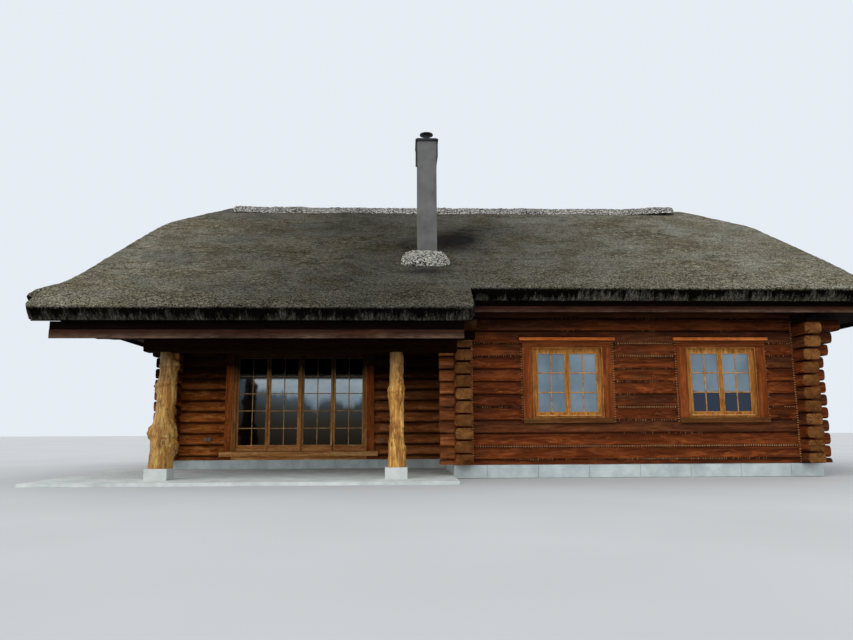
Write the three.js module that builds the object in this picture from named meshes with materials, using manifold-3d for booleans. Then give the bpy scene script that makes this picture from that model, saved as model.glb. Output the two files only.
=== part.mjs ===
// A detached log house with a thatched hip roof, a recessed terrace and a slim chimney.
// Millimetres, +Z up. The front faces -Y and X runs to the right. The origin lies on the ground,
// under the middle of the ridge.
import * as THREE from 'three';
import Module from 'manifold-3d';
import { mergeVertices } from 'three/addons/utils/BufferGeometryUtils.js';

const wasm = await Module();
wasm.setup();

// Clearance between pieces that touch, and the grid that corners are welded on
const GAP = 0.3;
const WELD = 0.02;

// Log walls: courses, log width and corner work
const LOG_PITCH = 250;
const LOG_WIDTH = 340;
const HALF_LOG = LOG_WIDTH / 2;
const JOINT_HALF = 126;
const CHEEK_RISE = 46;
const END_REACH = 280;
const LONG_CORBELS = [740, 530, 430];
const CROSS_CORBELS = [490, 430, 370, 320];
const TERRACE_CORBELS = [490, 370];
const END_SLOT = 22;
const FAR_TIP = 1500;
const END_TOP_LONG = 3100;
const END_TOP_CROSS = 2975;
const SIDE_BEAM_TOP = 3225;
const FIRST_JOINT_LONG = 350;
const FIRST_JOINT_CROSS = FIRST_JOINT_LONG + LOG_PITCH / 2;
const WALL_TOP = 3350;

// Wall lines: centre planes of the log walls
const LEFT_WALL_X = -6680;
const WING_WALL_X = -270;
const RIGHT_WALL_X = 6500;
const FRONT_WALL_Y = -3530;
const RECESS_WALL_Y = -860;
const BACK_WALL_Y = 3530;

// Ground level pieces
const SLAB_TOP = 60;
const PLINTH_TOP = 255;
const FLOOR_TOP = 440;
const SLAB_FRONT_Y = -5150;
const SLAB_LEFT_X = -7900;
const SLAB_RIGHT_INSET = 20;
const PLINTH_INSET = 20;
const PLINTH_RIGHT_REACH = 90;

// Roof: half sizes of the eaves, slopes and the S-shaped hip ends
const EAVE_X = 8360;
const EAVE_Y = 4450;
const EAVE_Z = 3576;
const ROOF_SLOPE = 0.66;
const END_EAVE_Z = 3420;
const FLARE_SLOPE = 0.62;
const STEEP_SLOPE = 3.0;
const STEEP_START = 620;
const CROWN_SLOPE = 0.58;
const CROWN_START = 1300;
const FLARE_BLEND = 260;
const CROWN_BLEND = 300;
const HIP_BLEND = 120;
const THATCH = 270;
const BOARDING = 40;
const BOARD_SETBACK = 60;
const SOFFIT = 40;
const SOFFIT_DROP = 8;
const END_FASCIA_INSET = 4;
const ROOF_CEILING = 9000;
const PLAN_MARGIN = 500;

// Porch roof: the front slope carried further down over the terrace, with a verge at each side
const PORCH_REACH = 760;
const VERGE_TAPER = 1;
const PORCH_LEFT_X = -8020;
const PORCH_RIGHT_X = -170;

// Rafters
const RAFTER_CROWN_Y = -40;
const RAFTER_WIDTH = 110;
const RAFTER_DEPTH = 150;
const RAFTER_SPACING = 900;
const RAFTER_COUNT = 13;

// Fascia boards
const FASCIA_THICK = 40;
const FASCIA_HEIGHT = 112;
const FASCIA_DROP = 90;
const MAIN_FASCIA_RIGHT = 7900;
const PORCH_FASCIA_HEIGHT = 215;
const PORCH_FASCIA_LEFT = -7635;
const PORCH_FASCIA_RIGHT = -345;

// Porch posts, blocks and beam
const POST_Y = -4370;
const LEFT_POST_X = -5810;
const RIGHT_POST_X = -1555;
const BLOCK_SIZE = 400;
const BLOCK_HEIGHT = 200;
const BEAM_BOTTOM = 2350;
const BEAM_LOW_LEFT_X = -6150;
const SIDE_BEAM_BOTTOM = 2725;
const CEILING_Z = 3100;
const CEILING_THICK = 25;
const CEILING_FRONT_Y = -4250;
const BEAM_LAP = 60;
const TRUNK_SIDES = 14;
const TRUNK_RINGS = 15;

// Windows: frame opening, casing boards and pane
const WINDOW_WIDTH = 1390;
const WINDOW_SILL_Z = 1144;
const WINDOW_HEIGHT = 1375;
const FRAME_BAR = 62;
const SASH_BAR = 48;
const FRAME_DEPTH = 78;
const SASH_DEPTH = 56;
const PANE = 8;
const PANE_EDGE = 10;
const SASH_STEP = 8;
const CASING_LAP = 12;
const HEAD_STRIP_REACH = 34;
const PLANED_RISE = 50;
const PLANED_DEPTH = 42;
const CASING_THICK = 26;
const CASING_WIDTH = 195;
const HEAD_HEIGHT = 140;
const HEAD_STRIP = 58;
const HEAD_OVERHANG = 60;
const SILL_HEIGHT = 100;
const SILL_REACH = 30;
const PLANED_MARGIN = 95;
const FRAME_SETBACK = 78;

// Terrace door
const DOOR_LEFT_X = -5350;
const DOOR_RIGHT_X = -2265;
const DOOR_TOP = 2700;
const DOOR_SILL_TOP = 442;
const DOOR_JAMB = 66;
const DOOR_MULLION = 44;
const DOOR_FRAME_DEPTH = 110;
const DOOR_SETBACK = 90;
const DOOR_CASING = 165;
const LEAF_THICK = 62;
const LEAF_CLEAR = 6;
const LEAF_MEETING = 14;
const LEAF_STILE = 42;
const LEAF_BOTTOM_RAIL = 130;
const DOOR_HEAD_BOARD = 120;
const DOOR_SILL_EAR = 90;
const DOOR_SILL_REACH = 40;
const DOOR_SILL_HEIGHT = 108;
const HINGE_RADIUS = 9;
const HINGE_LENGTH = 55;
const HINGE_PLATE = 42;
const HINGE_INSET = 260;
const HINGE_OUT = 10;

// Chimney: stack above the front slope, cap with side flaps, cowl and the reed collar before it
const STACK_X = -922;
const STACK_WIDTH = 415;
const STACK_FRONT_Y = -2890;
const STACK_DEPTH = 560;
const STACK_TOP = 7140;
const STACK_ROOM = 100;
const CAP_OVERHANG = 40;
const CAP_THICK = 60;
const FLAP_THICK = 30;
const FLAP_LEFT = 600;
const FLAP_RIGHT = 350;
const COWL_RADIUS = 70;
const COWL_DISC_RADIUS = 148;
const COLLAR_X = -975;
const COLLAR_THICK = 130;
const COLLAR_TOE_HALF = 520;
const COLLAR_HEAD_HALF = 430;
const COLLAR_FRONT = 620;
const COLLAR_HEAD_SLANT = 1.6;
const COWL_NECK = 175;

// Ridge cap
const RIDGE_CAP_HALF = 5650;
const RIDGE_CAP_WIDTH = 330;
const RIDGE_CAP_THICK = 75;

// Materials
const paint = (color, roughness, metalness = 0) => (
  new THREE.MeshStandardMaterial({ color, roughness, metalness }));
const thatchReed = paint(0x6a6355, 0.95);
const ridgeReed = paint(0x8c8a80, 0.95);
const logWood = paint(0x6b3a1e, 0.7);
const roofTimber = paint(0x33201a, 0.8);
const peeledTrunk = paint(0xc79a58, 0.6);
const joineryWood = paint(0xa0672f, 0.5);
const casingWood = paint(0x7a421f, 0.6);
const paneGlass = paint(0x8fa3ad, 0.08);
const concrete = paint(0xa7a49c, 0.9);
const stackFace = paint(0x65625d, 0.7);
const darkSheet = paint(0x2b2b2c, 0.5, 0.6);

// Solids: three.js geometry in, booleans, and back
function toSolid(geometry) {
  const plain = geometry.clone();
  plain.deleteAttribute('normal');
  plain.deleteAttribute('uv');
  const merged = mergeVertices(plain, 1e-3);
  const triVerts = new Uint32Array(merged.index.array);
  const vertProperties = merged.attributes.position.array;
  return new wasm.Manifold(new wasm.Mesh({ numProp: 3, vertProperties, triVerts }));
}

// Corners that lie within a hundredth of a millimetre become one, and triangles that close up go
function weld(points, faces) {
  const geometry = new THREE.BufferGeometry();
  const snapped = Array.from(points, (value) => Math.round(value / WELD) * WELD);
  geometry.setAttribute('position', new THREE.Float32BufferAttribute(snapped, 3));
  geometry.setIndex(Array.from(faces));
  const merged = mergeVertices(geometry, WELD / 4);
  const index = merged.index.array;
  const kept = [];
  for (let i = 0; i < index.length; i += 3) {
    const [a, b, c] = [index[i], index[i + 1], index[i + 2]];
    if (a !== b && b !== c && c !== a) {
      kept.push(a, b, c);
    }
  }
  merged.setIndex(kept);
  return merged;
}

function toGeometry(solid) {
  const mesh = solid.getMesh();
  const geometry = weld(mesh.vertProperties, mesh.triVerts);
  geometry.computeVertexNormals();
  return geometry;
}

const join = (solids) => solids.reduce((sum, solid) => sum.add(solid));
const cut = (base, tools) => tools.reduce((rest, tool) => rest.subtract(tool), base);

function block(x0, x1, y0, y1, z0, z1) {
  const geometry = new THREE.BoxGeometry(x1 - x0, y1 - y0, z1 - z0);
  geometry.translate((x0 + x1) / 2, (y0 + y1) / 2, (z0 + z1) / 2);
  return toSolid(geometry);
}

const shapeOf = (points) => new THREE.Shape(points.map(([u, v]) => new THREE.Vector2(u, v)));

// A section drawn in (y, z), swept along X
function sweepX(points, x0, x1) {
  const geometry = new THREE.ExtrudeGeometry(shapeOf(points), { depth: x1 - x0, bevelEnabled: false });
  const turn = new THREE.Matrix4().makeBasis(
    new THREE.Vector3(0, 1, 0), new THREE.Vector3(0, 0, 1), new THREE.Vector3(1, 0, 0));
  geometry.applyMatrix4(turn);
  geometry.translate(x0, 0, 0);
  return toSolid(geometry);
}

// A section drawn in (x, z), swept along Y
function sweepY(points, y0, y1) {
  const geometry = new THREE.ExtrudeGeometry(shapeOf(points), { depth: y1 - y0, bevelEnabled: false });
  geometry.rotateX(Math.PI / 2);
  geometry.translate(0, y1, 0);
  return toSolid(geometry);
}

// An outline drawn in (x, y), raised along Z
function raise(points, z0, z1) {
  const geometry = new THREE.ExtrudeGeometry(shapeOf(points), { depth: z1 - z0, bevelEnabled: false });
  geometry.translate(0, 0, z0);
  return toSolid(geometry);
}

// Heights of the joints between the logs of a wall
function jointLevels(firstJoint, top) {
  const levels = [];
  for (let z = firstJoint; z < top; z += LOG_PITCH) {
    levels.push(z);
  }
  return levels;
}

// Log wall section: a stack of planed logs, waisted at each joint.
// outward is the side that shows the logs, -1 or +1, or 0 for both; the room side is planed flat
function logSection(centre, bottom, top, firstJoint, outward) {
  const joints = jointLevels(firstJoint, top);
  const face = joints.includes(bottom) ? [] : [[HALF_LOG, bottom]];
  for (const z of joints) {
    face.push([HALF_LOG, z - CHEEK_RISE], [JOINT_HALF, z], [HALF_LOG, z + CHEEK_RISE]);
  }
  const logs = face.filter(([, z]) => z >= bottom && z < top).concat([[HALF_LOG, top]]);
  const flat = [[HALF_LOG, bottom], [HALF_LOG, top]];
  const right = outward < 0 ? flat : logs;
  const left = (outward > 0 ? flat : logs).map(([half, z]) => [-half, z]).reverse();
  return right.concat(left).map(([offset, z]) => [centre + offset, z]);
}

// Blocks that notch a wall where another wall crosses it, and part its log ends beyond the crossing.
// place puts a box along the wall's own axis. The ends point to side -1 or +1, and the corbels give
// how far they reach from the top course down
function cornerCuts(place, corner, firstJoint, top) {
  const { at, side, reach = END_REACH, corbels, endTop } = corner;
  const cuts = [];
  const face = at + side * (HALF_LOG + GAP / 2);
  const tip = at + side * (HALF_LOG + FAR_TIP);
  const beyond = (from, z0, z1) => place(Math.min(from, tip), Math.max(from, tip), z0, z1);
  for (const z of jointLevels(firstJoint - LOG_PITCH, top + LOG_PITCH)) {
    const notch = LOG_PITCH / 4 + GAP / 2;
    cuts.push(place(at - HALF_LOG - GAP, at + HALF_LOG + GAP, z - notch, z + notch));
    cuts.push(beyond(face, z - END_SLOT / 2, z + END_SLOT / 2));
  }
  const courses = [firstJoint - LOG_PITCH, ...jointLevels(firstJoint, endTop)];
  courses.forEach((z, index) => {
    const length = corbels[courses.length - 1 - index] ?? reach;
    cuts.push(beyond(at + side * (HALF_LOG + length), z - 1, z + LOG_PITCH + 1));
  });
  cuts.push(beyond(face, endTop, top + LOG_PITCH));
  return cuts;
}

// A wall along X between two stops, with log ends at its corners
function wallAlongX(x0, x1, centreY, bottom, top, outward, corners) {
  const place = (a, b, z0, z1) => block(a, b, centreY - LOG_WIDTH, centreY + LOG_WIDTH, z0, z1);
  const body = sweepX(logSection(centreY, bottom, top, FIRST_JOINT_LONG, outward), x0, x1);
  return cut(body, corners.flatMap((corner) => cornerCuts(place, corner, FIRST_JOINT_LONG, top)));
}

// A wall along Y between two stops, with log ends at its corners
function wallAlongY(y0, y1, centreX, bottom, top, outward, corners) {
  const place = (a, b, z0, z1) => block(centreX - LOG_WIDTH, centreX + LOG_WIDTH, a, b, z0, z1);
  const body = sweepY(logSection(centreX, bottom, top, FIRST_JOINT_CROSS, outward), y0, y1);
  return cut(body, corners.flatMap((corner) => cornerCuts(place, corner, FIRST_JOINT_CROSS, top)));
}

// Roof surface
function smoothMin(a, b, blend) {
  const near = Math.max(blend - Math.abs(a - b), 0) / blend;
  return Math.min(a, b) - near * near * blend / 4;
}

const smoothMax = (a, b, blend) => -smoothMin(-a, -b, blend);
const slant = (slope) => Math.sqrt(1 + slope * slope);

// Height of the long slopes at y, for a layer lying depth below the thatch face
const slopeHeight = (y, depth) => EAVE_Z + ROOF_SLOPE * (EAVE_Y - Math.abs(y)) - depth * slant(ROOF_SLOPE);

// The same for the front slope alone, carried on in a straight line past its eave
const slopeLine = (y, depth) => EAVE_Z + ROOF_SLOPE * (EAVE_Y + y) - depth * slant(ROOF_SLOPE);

// Height of the hip ends at a distance in from their eave: flare, steep face, crown
function endHeight(inward, depth) {
  const flare = END_EAVE_Z + FLARE_SLOPE * inward - depth * slant(FLARE_SLOPE);
  const foot = END_EAVE_Z + FLARE_SLOPE * STEEP_START;
  const steep = foot + STEEP_SLOPE * (inward - STEEP_START) - depth * slant(STEEP_SLOPE);
  const shoulder = foot + STEEP_SLOPE * (CROWN_START - STEEP_START);
  const crown = shoulder + CROWN_SLOPE * (inward - CROWN_START) - depth * slant(CROWN_SLOPE);
  return smoothMin(smoothMax(flare, steep, FLARE_BLEND), crown, CROWN_BLEND);
}

function roofHeight(x, y, depth) {
  return smoothMin(slopeHeight(y, depth), endHeight(EAVE_X - Math.abs(x), depth), HIP_BLEND);
}

// How far the hip line lies in from the front eave, where both surfaces are equally high
function hipInward(inward, depth) {
  const rise = endHeight(inward, depth) - slopeHeight(EAVE_Y, depth);
  return THREE.MathUtils.clamp(rise / ROOF_SLOPE, 0, EAVE_Y);
}

const columnStops = [0, 250, 480, 600, 700, 820, 980, 1180, 1280, 1390, 1560, 1850, 2150, 2550, 3200];
const stepIn = (slope) => slope / slant(slope);

// x positions for a layer, from eave to eave, with a pair at each verge of the porch roof
function layerColumns(depth) {
  const half = columnStops.map((stop) => {
    const slope = (endHeight(stop + 5, 0) - endHeight(stop - 5, 0)) / 10;
    return -EAVE_X + stop + depth * stepIn(slope);
  });
  const verges = [PORCH_LEFT_X, PORCH_RIGHT_X].flatMap((x) => [x - VERGE_TAPER, x + VERGE_TAPER]);
  return [...half, ...verges, 0, ...half.map((x) => -x)].sort((a, b) => a - b);
}

const porchEaveY = -EAVE_Y - PORCH_REACH;
const overPorch = (x) => x > PORCH_LEFT_X && x < PORCH_RIGHT_X;

// y positions at one column of a layer, from the front eave to the back eave
function layerRows(x, depth) {
  const hipLine = -EAVE_Y + hipInward(EAVE_X - Math.abs(x), depth);
  const rowsFrom = (edge) => {
    const eave = edge + depth * stepIn(ROOF_SLOPE);
    const hip = Math.max(hipLine, eave);
    const reach = (y) => Math.min(Math.max(y, eave), 0);
    const foot = reach(hip - HIP_BLEND);
    const past = reach(hip + HIP_BLEND);
    return [eave, (eave + foot) / 2, foot, hip, past, past / 2];
  };
  const front = rowsFrom(overPorch(x) ? porchEaveY : -EAVE_Y);
  const back = rowsFrom(-EAVE_Y).map((y) => -y).reverse();
  return [...front, 0, ...back];
}

// Surface of a layer as a grid of points, columns of rows
const layerGrid = (depth) => layerColumns(depth).map((x) => (
  layerRows(x, depth).map((y) => [x, y, roofHeight(x, y, depth)])));

// The underside of the thatch, lowered by a thickness measured square to the roof
function underThatch(thickness) {
  return thatchUnderside.map((rows) => rows.map(([x, y, z]) => {
    const alongX = roofHeight(x + 1, y, THATCH) - roofHeight(x - 1, y, THATCH);
    const alongY = roofHeight(x, y + 1, THATCH) - roofHeight(x, y - 1, THATCH);
    return [x, y, z - thickness * Math.hypot(1, alongX / 2, alongY / 2)];
  }));
}

// One closed sheet between two grids of the same make
function sheetBetween(top, bottom) {
  const columnCount = top.length;
  const rowCount = top[0].length;
  const points = [...top, ...bottom].flat(2);
  const upper = (i, j) => i * rowCount + j;
  const lower = (i, j) => (columnCount + i) * rowCount + j;
  const faces = [];
  const quad = (a, b, c, d) => faces.push(a, b, c, a, c, d);
  for (let i = 0; i < columnCount - 1; i += 1) {
    for (let j = 0; j < rowCount - 1; j += 1) {
      quad(upper(i, j), upper(i + 1, j), upper(i + 1, j + 1), upper(i, j + 1));
      quad(lower(i, j), lower(i, j + 1), lower(i + 1, j + 1), lower(i + 1, j));
    }
    quad(lower(i, 0), lower(i + 1, 0), upper(i + 1, 0), upper(i, 0));
    const end = rowCount - 1;
    quad(upper(i, end), upper(i + 1, end), lower(i + 1, end), lower(i, end));
  }
  const last = columnCount - 1;
  for (let j = 0; j < rowCount - 1; j += 1) {
    quad(lower(0, j + 1), lower(0, j), upper(0, j), upper(0, j + 1));
    quad(lower(last, j), lower(last, j + 1), upper(last, j + 1), upper(last, j));
  }
  return toSolid(weld(points, faces));
}

// A slab of the front slope between two depths, from y0 to y1
function slopeSlab(upper, lower, y0, y1, x0, x1) {
  const foot = y0 + (lower - upper) * stepIn(ROOF_SLOPE);
  const underside = [[foot, slopeLine(foot, lower)], [y1, slopeLine(y1, lower)]];
  const face = [[y1, slopeLine(y1, upper)], [y0, slopeLine(y0, upper)]];
  return sweepX([...underside, ...face], x0, x1);
}

// Plan of a hip end, up to the hip lines, kerf mm past them
function endPlan(side, kerf) {
  const half = columnStops.filter((stop) => hipInward(stop, 0) < EAVE_Y - 1);
  const outer = EAVE_X + PLAN_MARGIN;
  const front = half.map((stop) => [side * (EAVE_X - stop - kerf), -EAVE_Y + hipInward(stop, 0)]);
  const crownEnd = columnStops.find((stop) => hipInward(stop, 0) >= EAVE_Y - 1);
  const tip = [side * (EAVE_X - crownEnd - kerf), 0];
  const start = [[side * outer, -EAVE_Y - PLAN_MARGIN], [side * (EAVE_X - kerf), -EAVE_Y - PLAN_MARGIN]];
  const path = start.concat(front, [tip]);
  const mirrored = start.concat(front).map(([x, y]) => [x, -y]).reverse();
  const outline = path.concat(mirrored);
  return raise(side > 0 ? outline.reverse() : outline, 0, ROOF_CEILING);
}

// Parts a whole roof layer into front, back, left end and right end
function partRoof(layer) {
  const plans = [endPlan(-1, GAP), endPlan(1, GAP)];
  const middle = cut(layer, plans);
  const far = EAVE_X * 2;
  return {
    front: middle.intersect(block(-far, far, -far, -GAP / 2, 0, ROOF_CEILING)),
    back: middle.intersect(block(-far, far, GAP / 2, far, 0, ROOF_CEILING)),
    left: layer.intersect(endPlan(-1, 0)),
    right: layer.intersect(endPlan(1, 0)),
  };
}

// Chimney hole and stack
const stackBox = (extra, z0, z1) => block(
  STACK_X - STACK_WIDTH / 2 - extra, STACK_X + STACK_WIDTH / 2 + extra,
  STACK_FRONT_Y - extra, STACK_FRONT_Y + STACK_DEPTH + extra, z0, z1);

const stackHole = stackBox(GAP, WALL_TOP, ROOF_CEILING);
const thatchUnderside = layerGrid(THATCH);
const thatch = partRoof(sheetBetween(layerGrid(0), thatchUnderside));

// Everything above a layer that lies under the thatch
const aboveLayer = (thickness) => {
  const floor = underThatch(thickness);
  return sheetBetween(floor.map((rows) => rows.map(([x, y]) => [x, y, ROOF_CEILING])), floor);
};
// Boarding under the thatch, set back from its edges
const boardTop = THATCH + GAP;
const boardBottom = boardTop + BOARDING;
const boardEdge = boardTop * stepIn(ROOF_SLOPE) + BOARD_SETBACK;
const endBoardEdge = EAVE_X - boardTop * stepIn(FLARE_SLOPE) - BOARD_SETBACK;
const boardPlan = join([
  block(-endBoardEdge, endBoardEdge, -EAVE_Y + boardEdge, EAVE_Y - boardEdge, 0, ROOF_CEILING),
  block(PORCH_LEFT_X + BOARD_SETBACK, PORCH_RIGHT_X - BOARD_SETBACK,
    porchEaveY + boardEdge, 0, 0, ROOF_CEILING),
]);
const boarding = partRoof(sheetBetween(underThatch(GAP), underThatch(GAP + BOARDING)).intersect(boardPlan));

// Rafters under a long slope, grown by extra on every side to make their notches
function rafters(side, extra) {
  const ribs = [];
  const top = boardBottom - 5;
  const bottom = boardBottom + RAFTER_DEPTH + extra;
  for (let n = 0; n < RAFTER_COUNT; n += 1) {
    const x = (n - (RAFTER_COUNT - 1) / 2) * RAFTER_SPACING;
    const half = RAFTER_WIDTH / 2 + extra;
    const lower = side < 0 && x < PORCH_RIGHT_X - RAFTER_WIDTH;
    const eave = (lower ? porchEaveY : -EAVE_Y) + boardEdge + FASCIA_THICK - extra;
    const low = [[eave, slopeLine(eave, bottom)], [RAFTER_CROWN_Y, slopeLine(RAFTER_CROWN_Y, bottom)]];
    const high = [[RAFTER_CROWN_Y, slopeLine(RAFTER_CROWN_Y, top)], [eave, slopeLine(eave, top)]];
    const section = [...low, ...high];
    const placed = side < 0 ? section : section.map(([y, z]) => [-y, z]).reverse();
    ribs.push(sweepX(placed, x - half, x + half));
  }
  return ribs;
}

const rafterTrim = [aboveLayer(GAP + BOARDING / 2), endPlan(-1, GAP), endPlan(1, GAP)];
const frameFront = join([boarding.front, cut(join(rafters(-1, 0)), rafterTrim)]);
const frameBack = join([boarding.back, cut(join(rafters(1, 0)), rafterTrim)]);

// Soffit and fascia of a hip end, fixed under the boarding's edge
const soffitTop = endHeight(EAVE_X - endBoardEdge, boardBottom) - SOFFIT_DROP;
const soffitBottom = soffitTop - SOFFIT;

function endFrame(piece, side) {
  const wallFace = (side < 0 ? -LEFT_WALL_X : RIGHT_WALL_X) + HALF_LOG + GAP;
  const halfDepth = EAVE_Y - boardEdge - FASCIA_THICK;
  const span = (a, b) => (side < 0 ? [-b, -a] : [a, b]);
  const face = endBoardEdge - END_FASCIA_INSET;
  const lip = face - FASCIA_THICK;
  const soffit = block(...span(wallFace, lip + END_FASCIA_INSET), -halfDepth, halfDepth,
    soffitBottom, soffitTop);
  const fascia = block(...span(lip, face), -halfDepth, halfDepth,
    soffitTop - FASCIA_HEIGHT, soffitTop + 2 * SOFFIT);
  return join([piece, cut(join([soffit, fascia]), [aboveLayer(GAP + BOARDING / 2)])]);
}

// What the log walls are cut by: the boarding and rafters over them, and the soffits at the hip ends
const soffitCutters = [
  block(-EAVE_X, LEFT_WALL_X - HALF_LOG, -EAVE_Y, EAVE_Y, soffitBottom - GAP, ROOF_CEILING),
  block(RIGHT_WALL_X + HALF_LOG, EAVE_X, -EAVE_Y, EAVE_Y, soffitBottom - GAP, ROOF_CEILING),
];
const vergeCutter = slopeSlab(0, THATCH + GAP, porchEaveY - GAP, -EAVE_Y + THATCH,
  PORCH_RIGHT_X - 2 * VERGE_TAPER, WING_WALL_X + LOG_WIDTH);
const roofCutters = [
  aboveLayer(GAP + BOARDING + GAP), vergeCutter,
  ...rafters(-1, GAP), ...rafters(1, GAP), ...soffitCutters,
];

// Windows. place puts a box given along the wall (u), outward from its centre plane (w) and in height
const windowHalf = WINDOW_WIDTH / 2;
const windowTop = WINDOW_SILL_Z + WINDOW_HEIGHT;
const planedFace = HALF_LOG - PLANED_DEPTH;

function windowCuts(place, centre) {
  const half = windowHalf + GAP;
  const bed = windowHalf + CASING_WIDTH + PLANED_MARGIN;
  const bedTop = windowTop + HEAD_HEIGHT + HEAD_STRIP + PLANED_RISE;
  const bedBottom = WINDOW_SILL_Z - SILL_HEIGHT - PLANED_RISE;
  return [
    place(centre - half, centre + half, -LOG_WIDTH, LOG_WIDTH, WINDOW_SILL_Z - GAP, windowTop + GAP),
    place(centre - bed, centre + bed, planedFace, LOG_WIDTH, bedBottom, bedTop),
  ];
}

// A flat ring: the box with its middle taken out, bar wide, with its lower bar given
function ring(place, u0, u1, w0, w1, z0, z1, bar, lowBar = bar) {
  const hole = place(u0 + bar, u1 - bar, w0 - 1, w1 + 1, z0 + lowBar, z1 - bar);
  return place(u0, u1, w0, w1, z0, z1).subtract(hole);
}

// Frame with two sashes, and one pane in a groove round both
function windowParts(place, centre) {
  const front = HALF_LOG - FRAME_SETBACK;
  const frame = ring(place, centre - windowHalf, centre + windowHalf, front - FRAME_DEPTH, front,
    WINDOW_SILL_Z, windowTop, FRAME_BAR);
  const inner = windowHalf - FRAME_BAR;
  const low = WINDOW_SILL_Z + FRAME_BAR;
  const high = windowTop - FRAME_BAR;
  const sashes = [[-inner - 1, 1], [-1, inner + 1]].map(([a, b]) => ring(place, centre + a, centre + b,
    front - SASH_DEPTH, front - SASH_STEP, low - 1, high + 1, SASH_BAR));
  const edge = inner - SASH_BAR + PANE_EDGE;
  const middle = front - (SASH_DEPTH + SASH_STEP) / 2;
  const pane = (less) => place(centre - edge + less, centre + edge - less,
    middle - PANE / 2 + less, middle + PANE / 2 - less,
    low + SASH_BAR - PANE_EDGE + less, high - SASH_BAR + PANE_EDGE - less);
  return { frame: join([frame, ...sashes]).subtract(pane(0)), glass: pane(GAP) };
}

function windowCasing(place, centre) {
  const bed = planedFace + GAP;
  const face = bed + CASING_THICK;
  const top = windowTop + HEAD_HEIGHT;
  const outer = windowHalf + CASING_WIDTH;
  const inset = windowHalf - CASING_LAP;
  const sillBottom = WINDOW_SILL_Z - SILL_HEIGHT;
  const boards = place(centre - outer, centre + outer, bed, face, sillBottom, top + 2)
    .subtract(place(centre - inset, centre + inset, bed - 1, face + 1,
      WINDOW_SILL_Z + CASING_LAP, windowTop - CASING_LAP));
  const stripHalf = outer + HEAD_OVERHANG;
  const strip = place(centre - stripHalf, centre + stripHalf, bed, face + HEAD_STRIP_REACH,
    top, top + HEAD_STRIP);
  const sill = place(centre - outer, centre + outer, face - 2, face + SILL_REACH,
    sillBottom, WINDOW_SILL_Z);
  return join([boards, strip, sill]);
}

// Lining that joins frame and casing where both are one piece
function windowLink(place, centre) {
  const front = HALF_LOG - FRAME_SETBACK;
  const outer = place(centre - windowHalf, centre + windowHalf, front - 2, planedFace + 2,
    WINDOW_SILL_Z, windowTop);
  const inset = windowHalf - CASING_LAP;
  return outer.subtract(place(centre - inset, centre + inset, 0, LOG_WIDTH,
    WINDOW_SILL_Z + CASING_LAP, windowTop - CASING_LAP));
}

const onFront = (u0, u1, w0, w1, z0, z1) => block(u0, u1, FRONT_WALL_Y - w1, FRONT_WALL_Y - w0, z0, z1);
const onBack = (u0, u1, w0, w1, z0, z1) => block(u0, u1, BACK_WALL_Y + w0, BACK_WALL_Y + w1, z0, z1);
const onRecess = (u0, u1, w0, w1, z0, z1) => block(u0, u1, RECESS_WALL_Y - w1, RECESS_WALL_Y - w0, z0, z1);
const onLeft = (u0, u1, w0, w1, z0, z1) => block(LEFT_WALL_X - w1, LEFT_WALL_X - w0, u0, u1, z0, z1);
const onRight = (u0, u1, w0, w1, z0, z1) => block(RIGHT_WALL_X + w0, RIGHT_WALL_X + w1, u0, u1, z0, z1);

const windows = [
  { name: 'front_window_1', place: onFront, centre: 1805 },
  { name: 'front_window_2', place: onFront, centre: 4885 },
  { name: 'right_window', place: onRight, centre: 0 },
  { name: 'back_window_1', place: onBack, centre: 3300 },
  { name: 'back_window_2', place: onBack, centre: -3600 },
  { name: 'left_window', place: onLeft, centre: 1400 },
];
const cutsOn = (place) => windows.filter((w) => w.place === place)
  .flatMap((w) => windowCuts(w.place, w.centre));

// Terrace door: a frame with sill, casing and mullion, and four leaves that open inward
const doorFront = HALF_LOG - DOOR_SETBACK;
const doorBack = doorFront - DOOR_FRAME_DEPTH;
const doorMiddle = (DOOR_LEFT_X + DOOR_RIGHT_X) / 2;
const doorHead = DOOR_TOP - DOOR_JAMB;
const doorBays = [
  [DOOR_LEFT_X + DOOR_JAMB, doorMiddle - DOOR_MULLION / 2],
  [doorMiddle + DOOR_MULLION / 2, DOOR_RIGHT_X - DOOR_JAMB],
];
const leafWidth = (doorBays[0][1] - doorBays[0][0] - LEAF_MEETING) / 2 - LEAF_CLEAR;
const leaves = doorBays.flatMap(([left, right]) => [{ hinge: left, side: 1 }, { hinge: right, side: -1 }]);
const hingeLevels = [DOOR_SILL_TOP + HINGE_INSET, doorHead - HINGE_INSET];
const hingeY = RECESS_WALL_Y - doorBack + HINGE_OUT;

function knuckle(x, z0) {
  const geometry = new THREE.CylinderGeometry(HINGE_RADIUS, HINGE_RADIUS, HINGE_LENGTH, 12);
  geometry.rotateX(Math.PI / 2);
  geometry.translate(x, hingeY, z0 + HINGE_LENGTH / 2);
  return toSolid(geometry);
}

// One half of a hinge: its knuckle and the plate that fixes it to the piece on side
function hingeHalf(x, side, z0) {
  const face = RECESS_WALL_Y - doorBack;
  const a = x + side * 2;
  const b = x + side * HINGE_PLATE;
  return join([
    knuckle(x, z0),
    block(Math.min(a, b), Math.max(a, b), face - 2, face + 6, z0, z0 + HINGE_LENGTH),
  ]);
}

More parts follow.
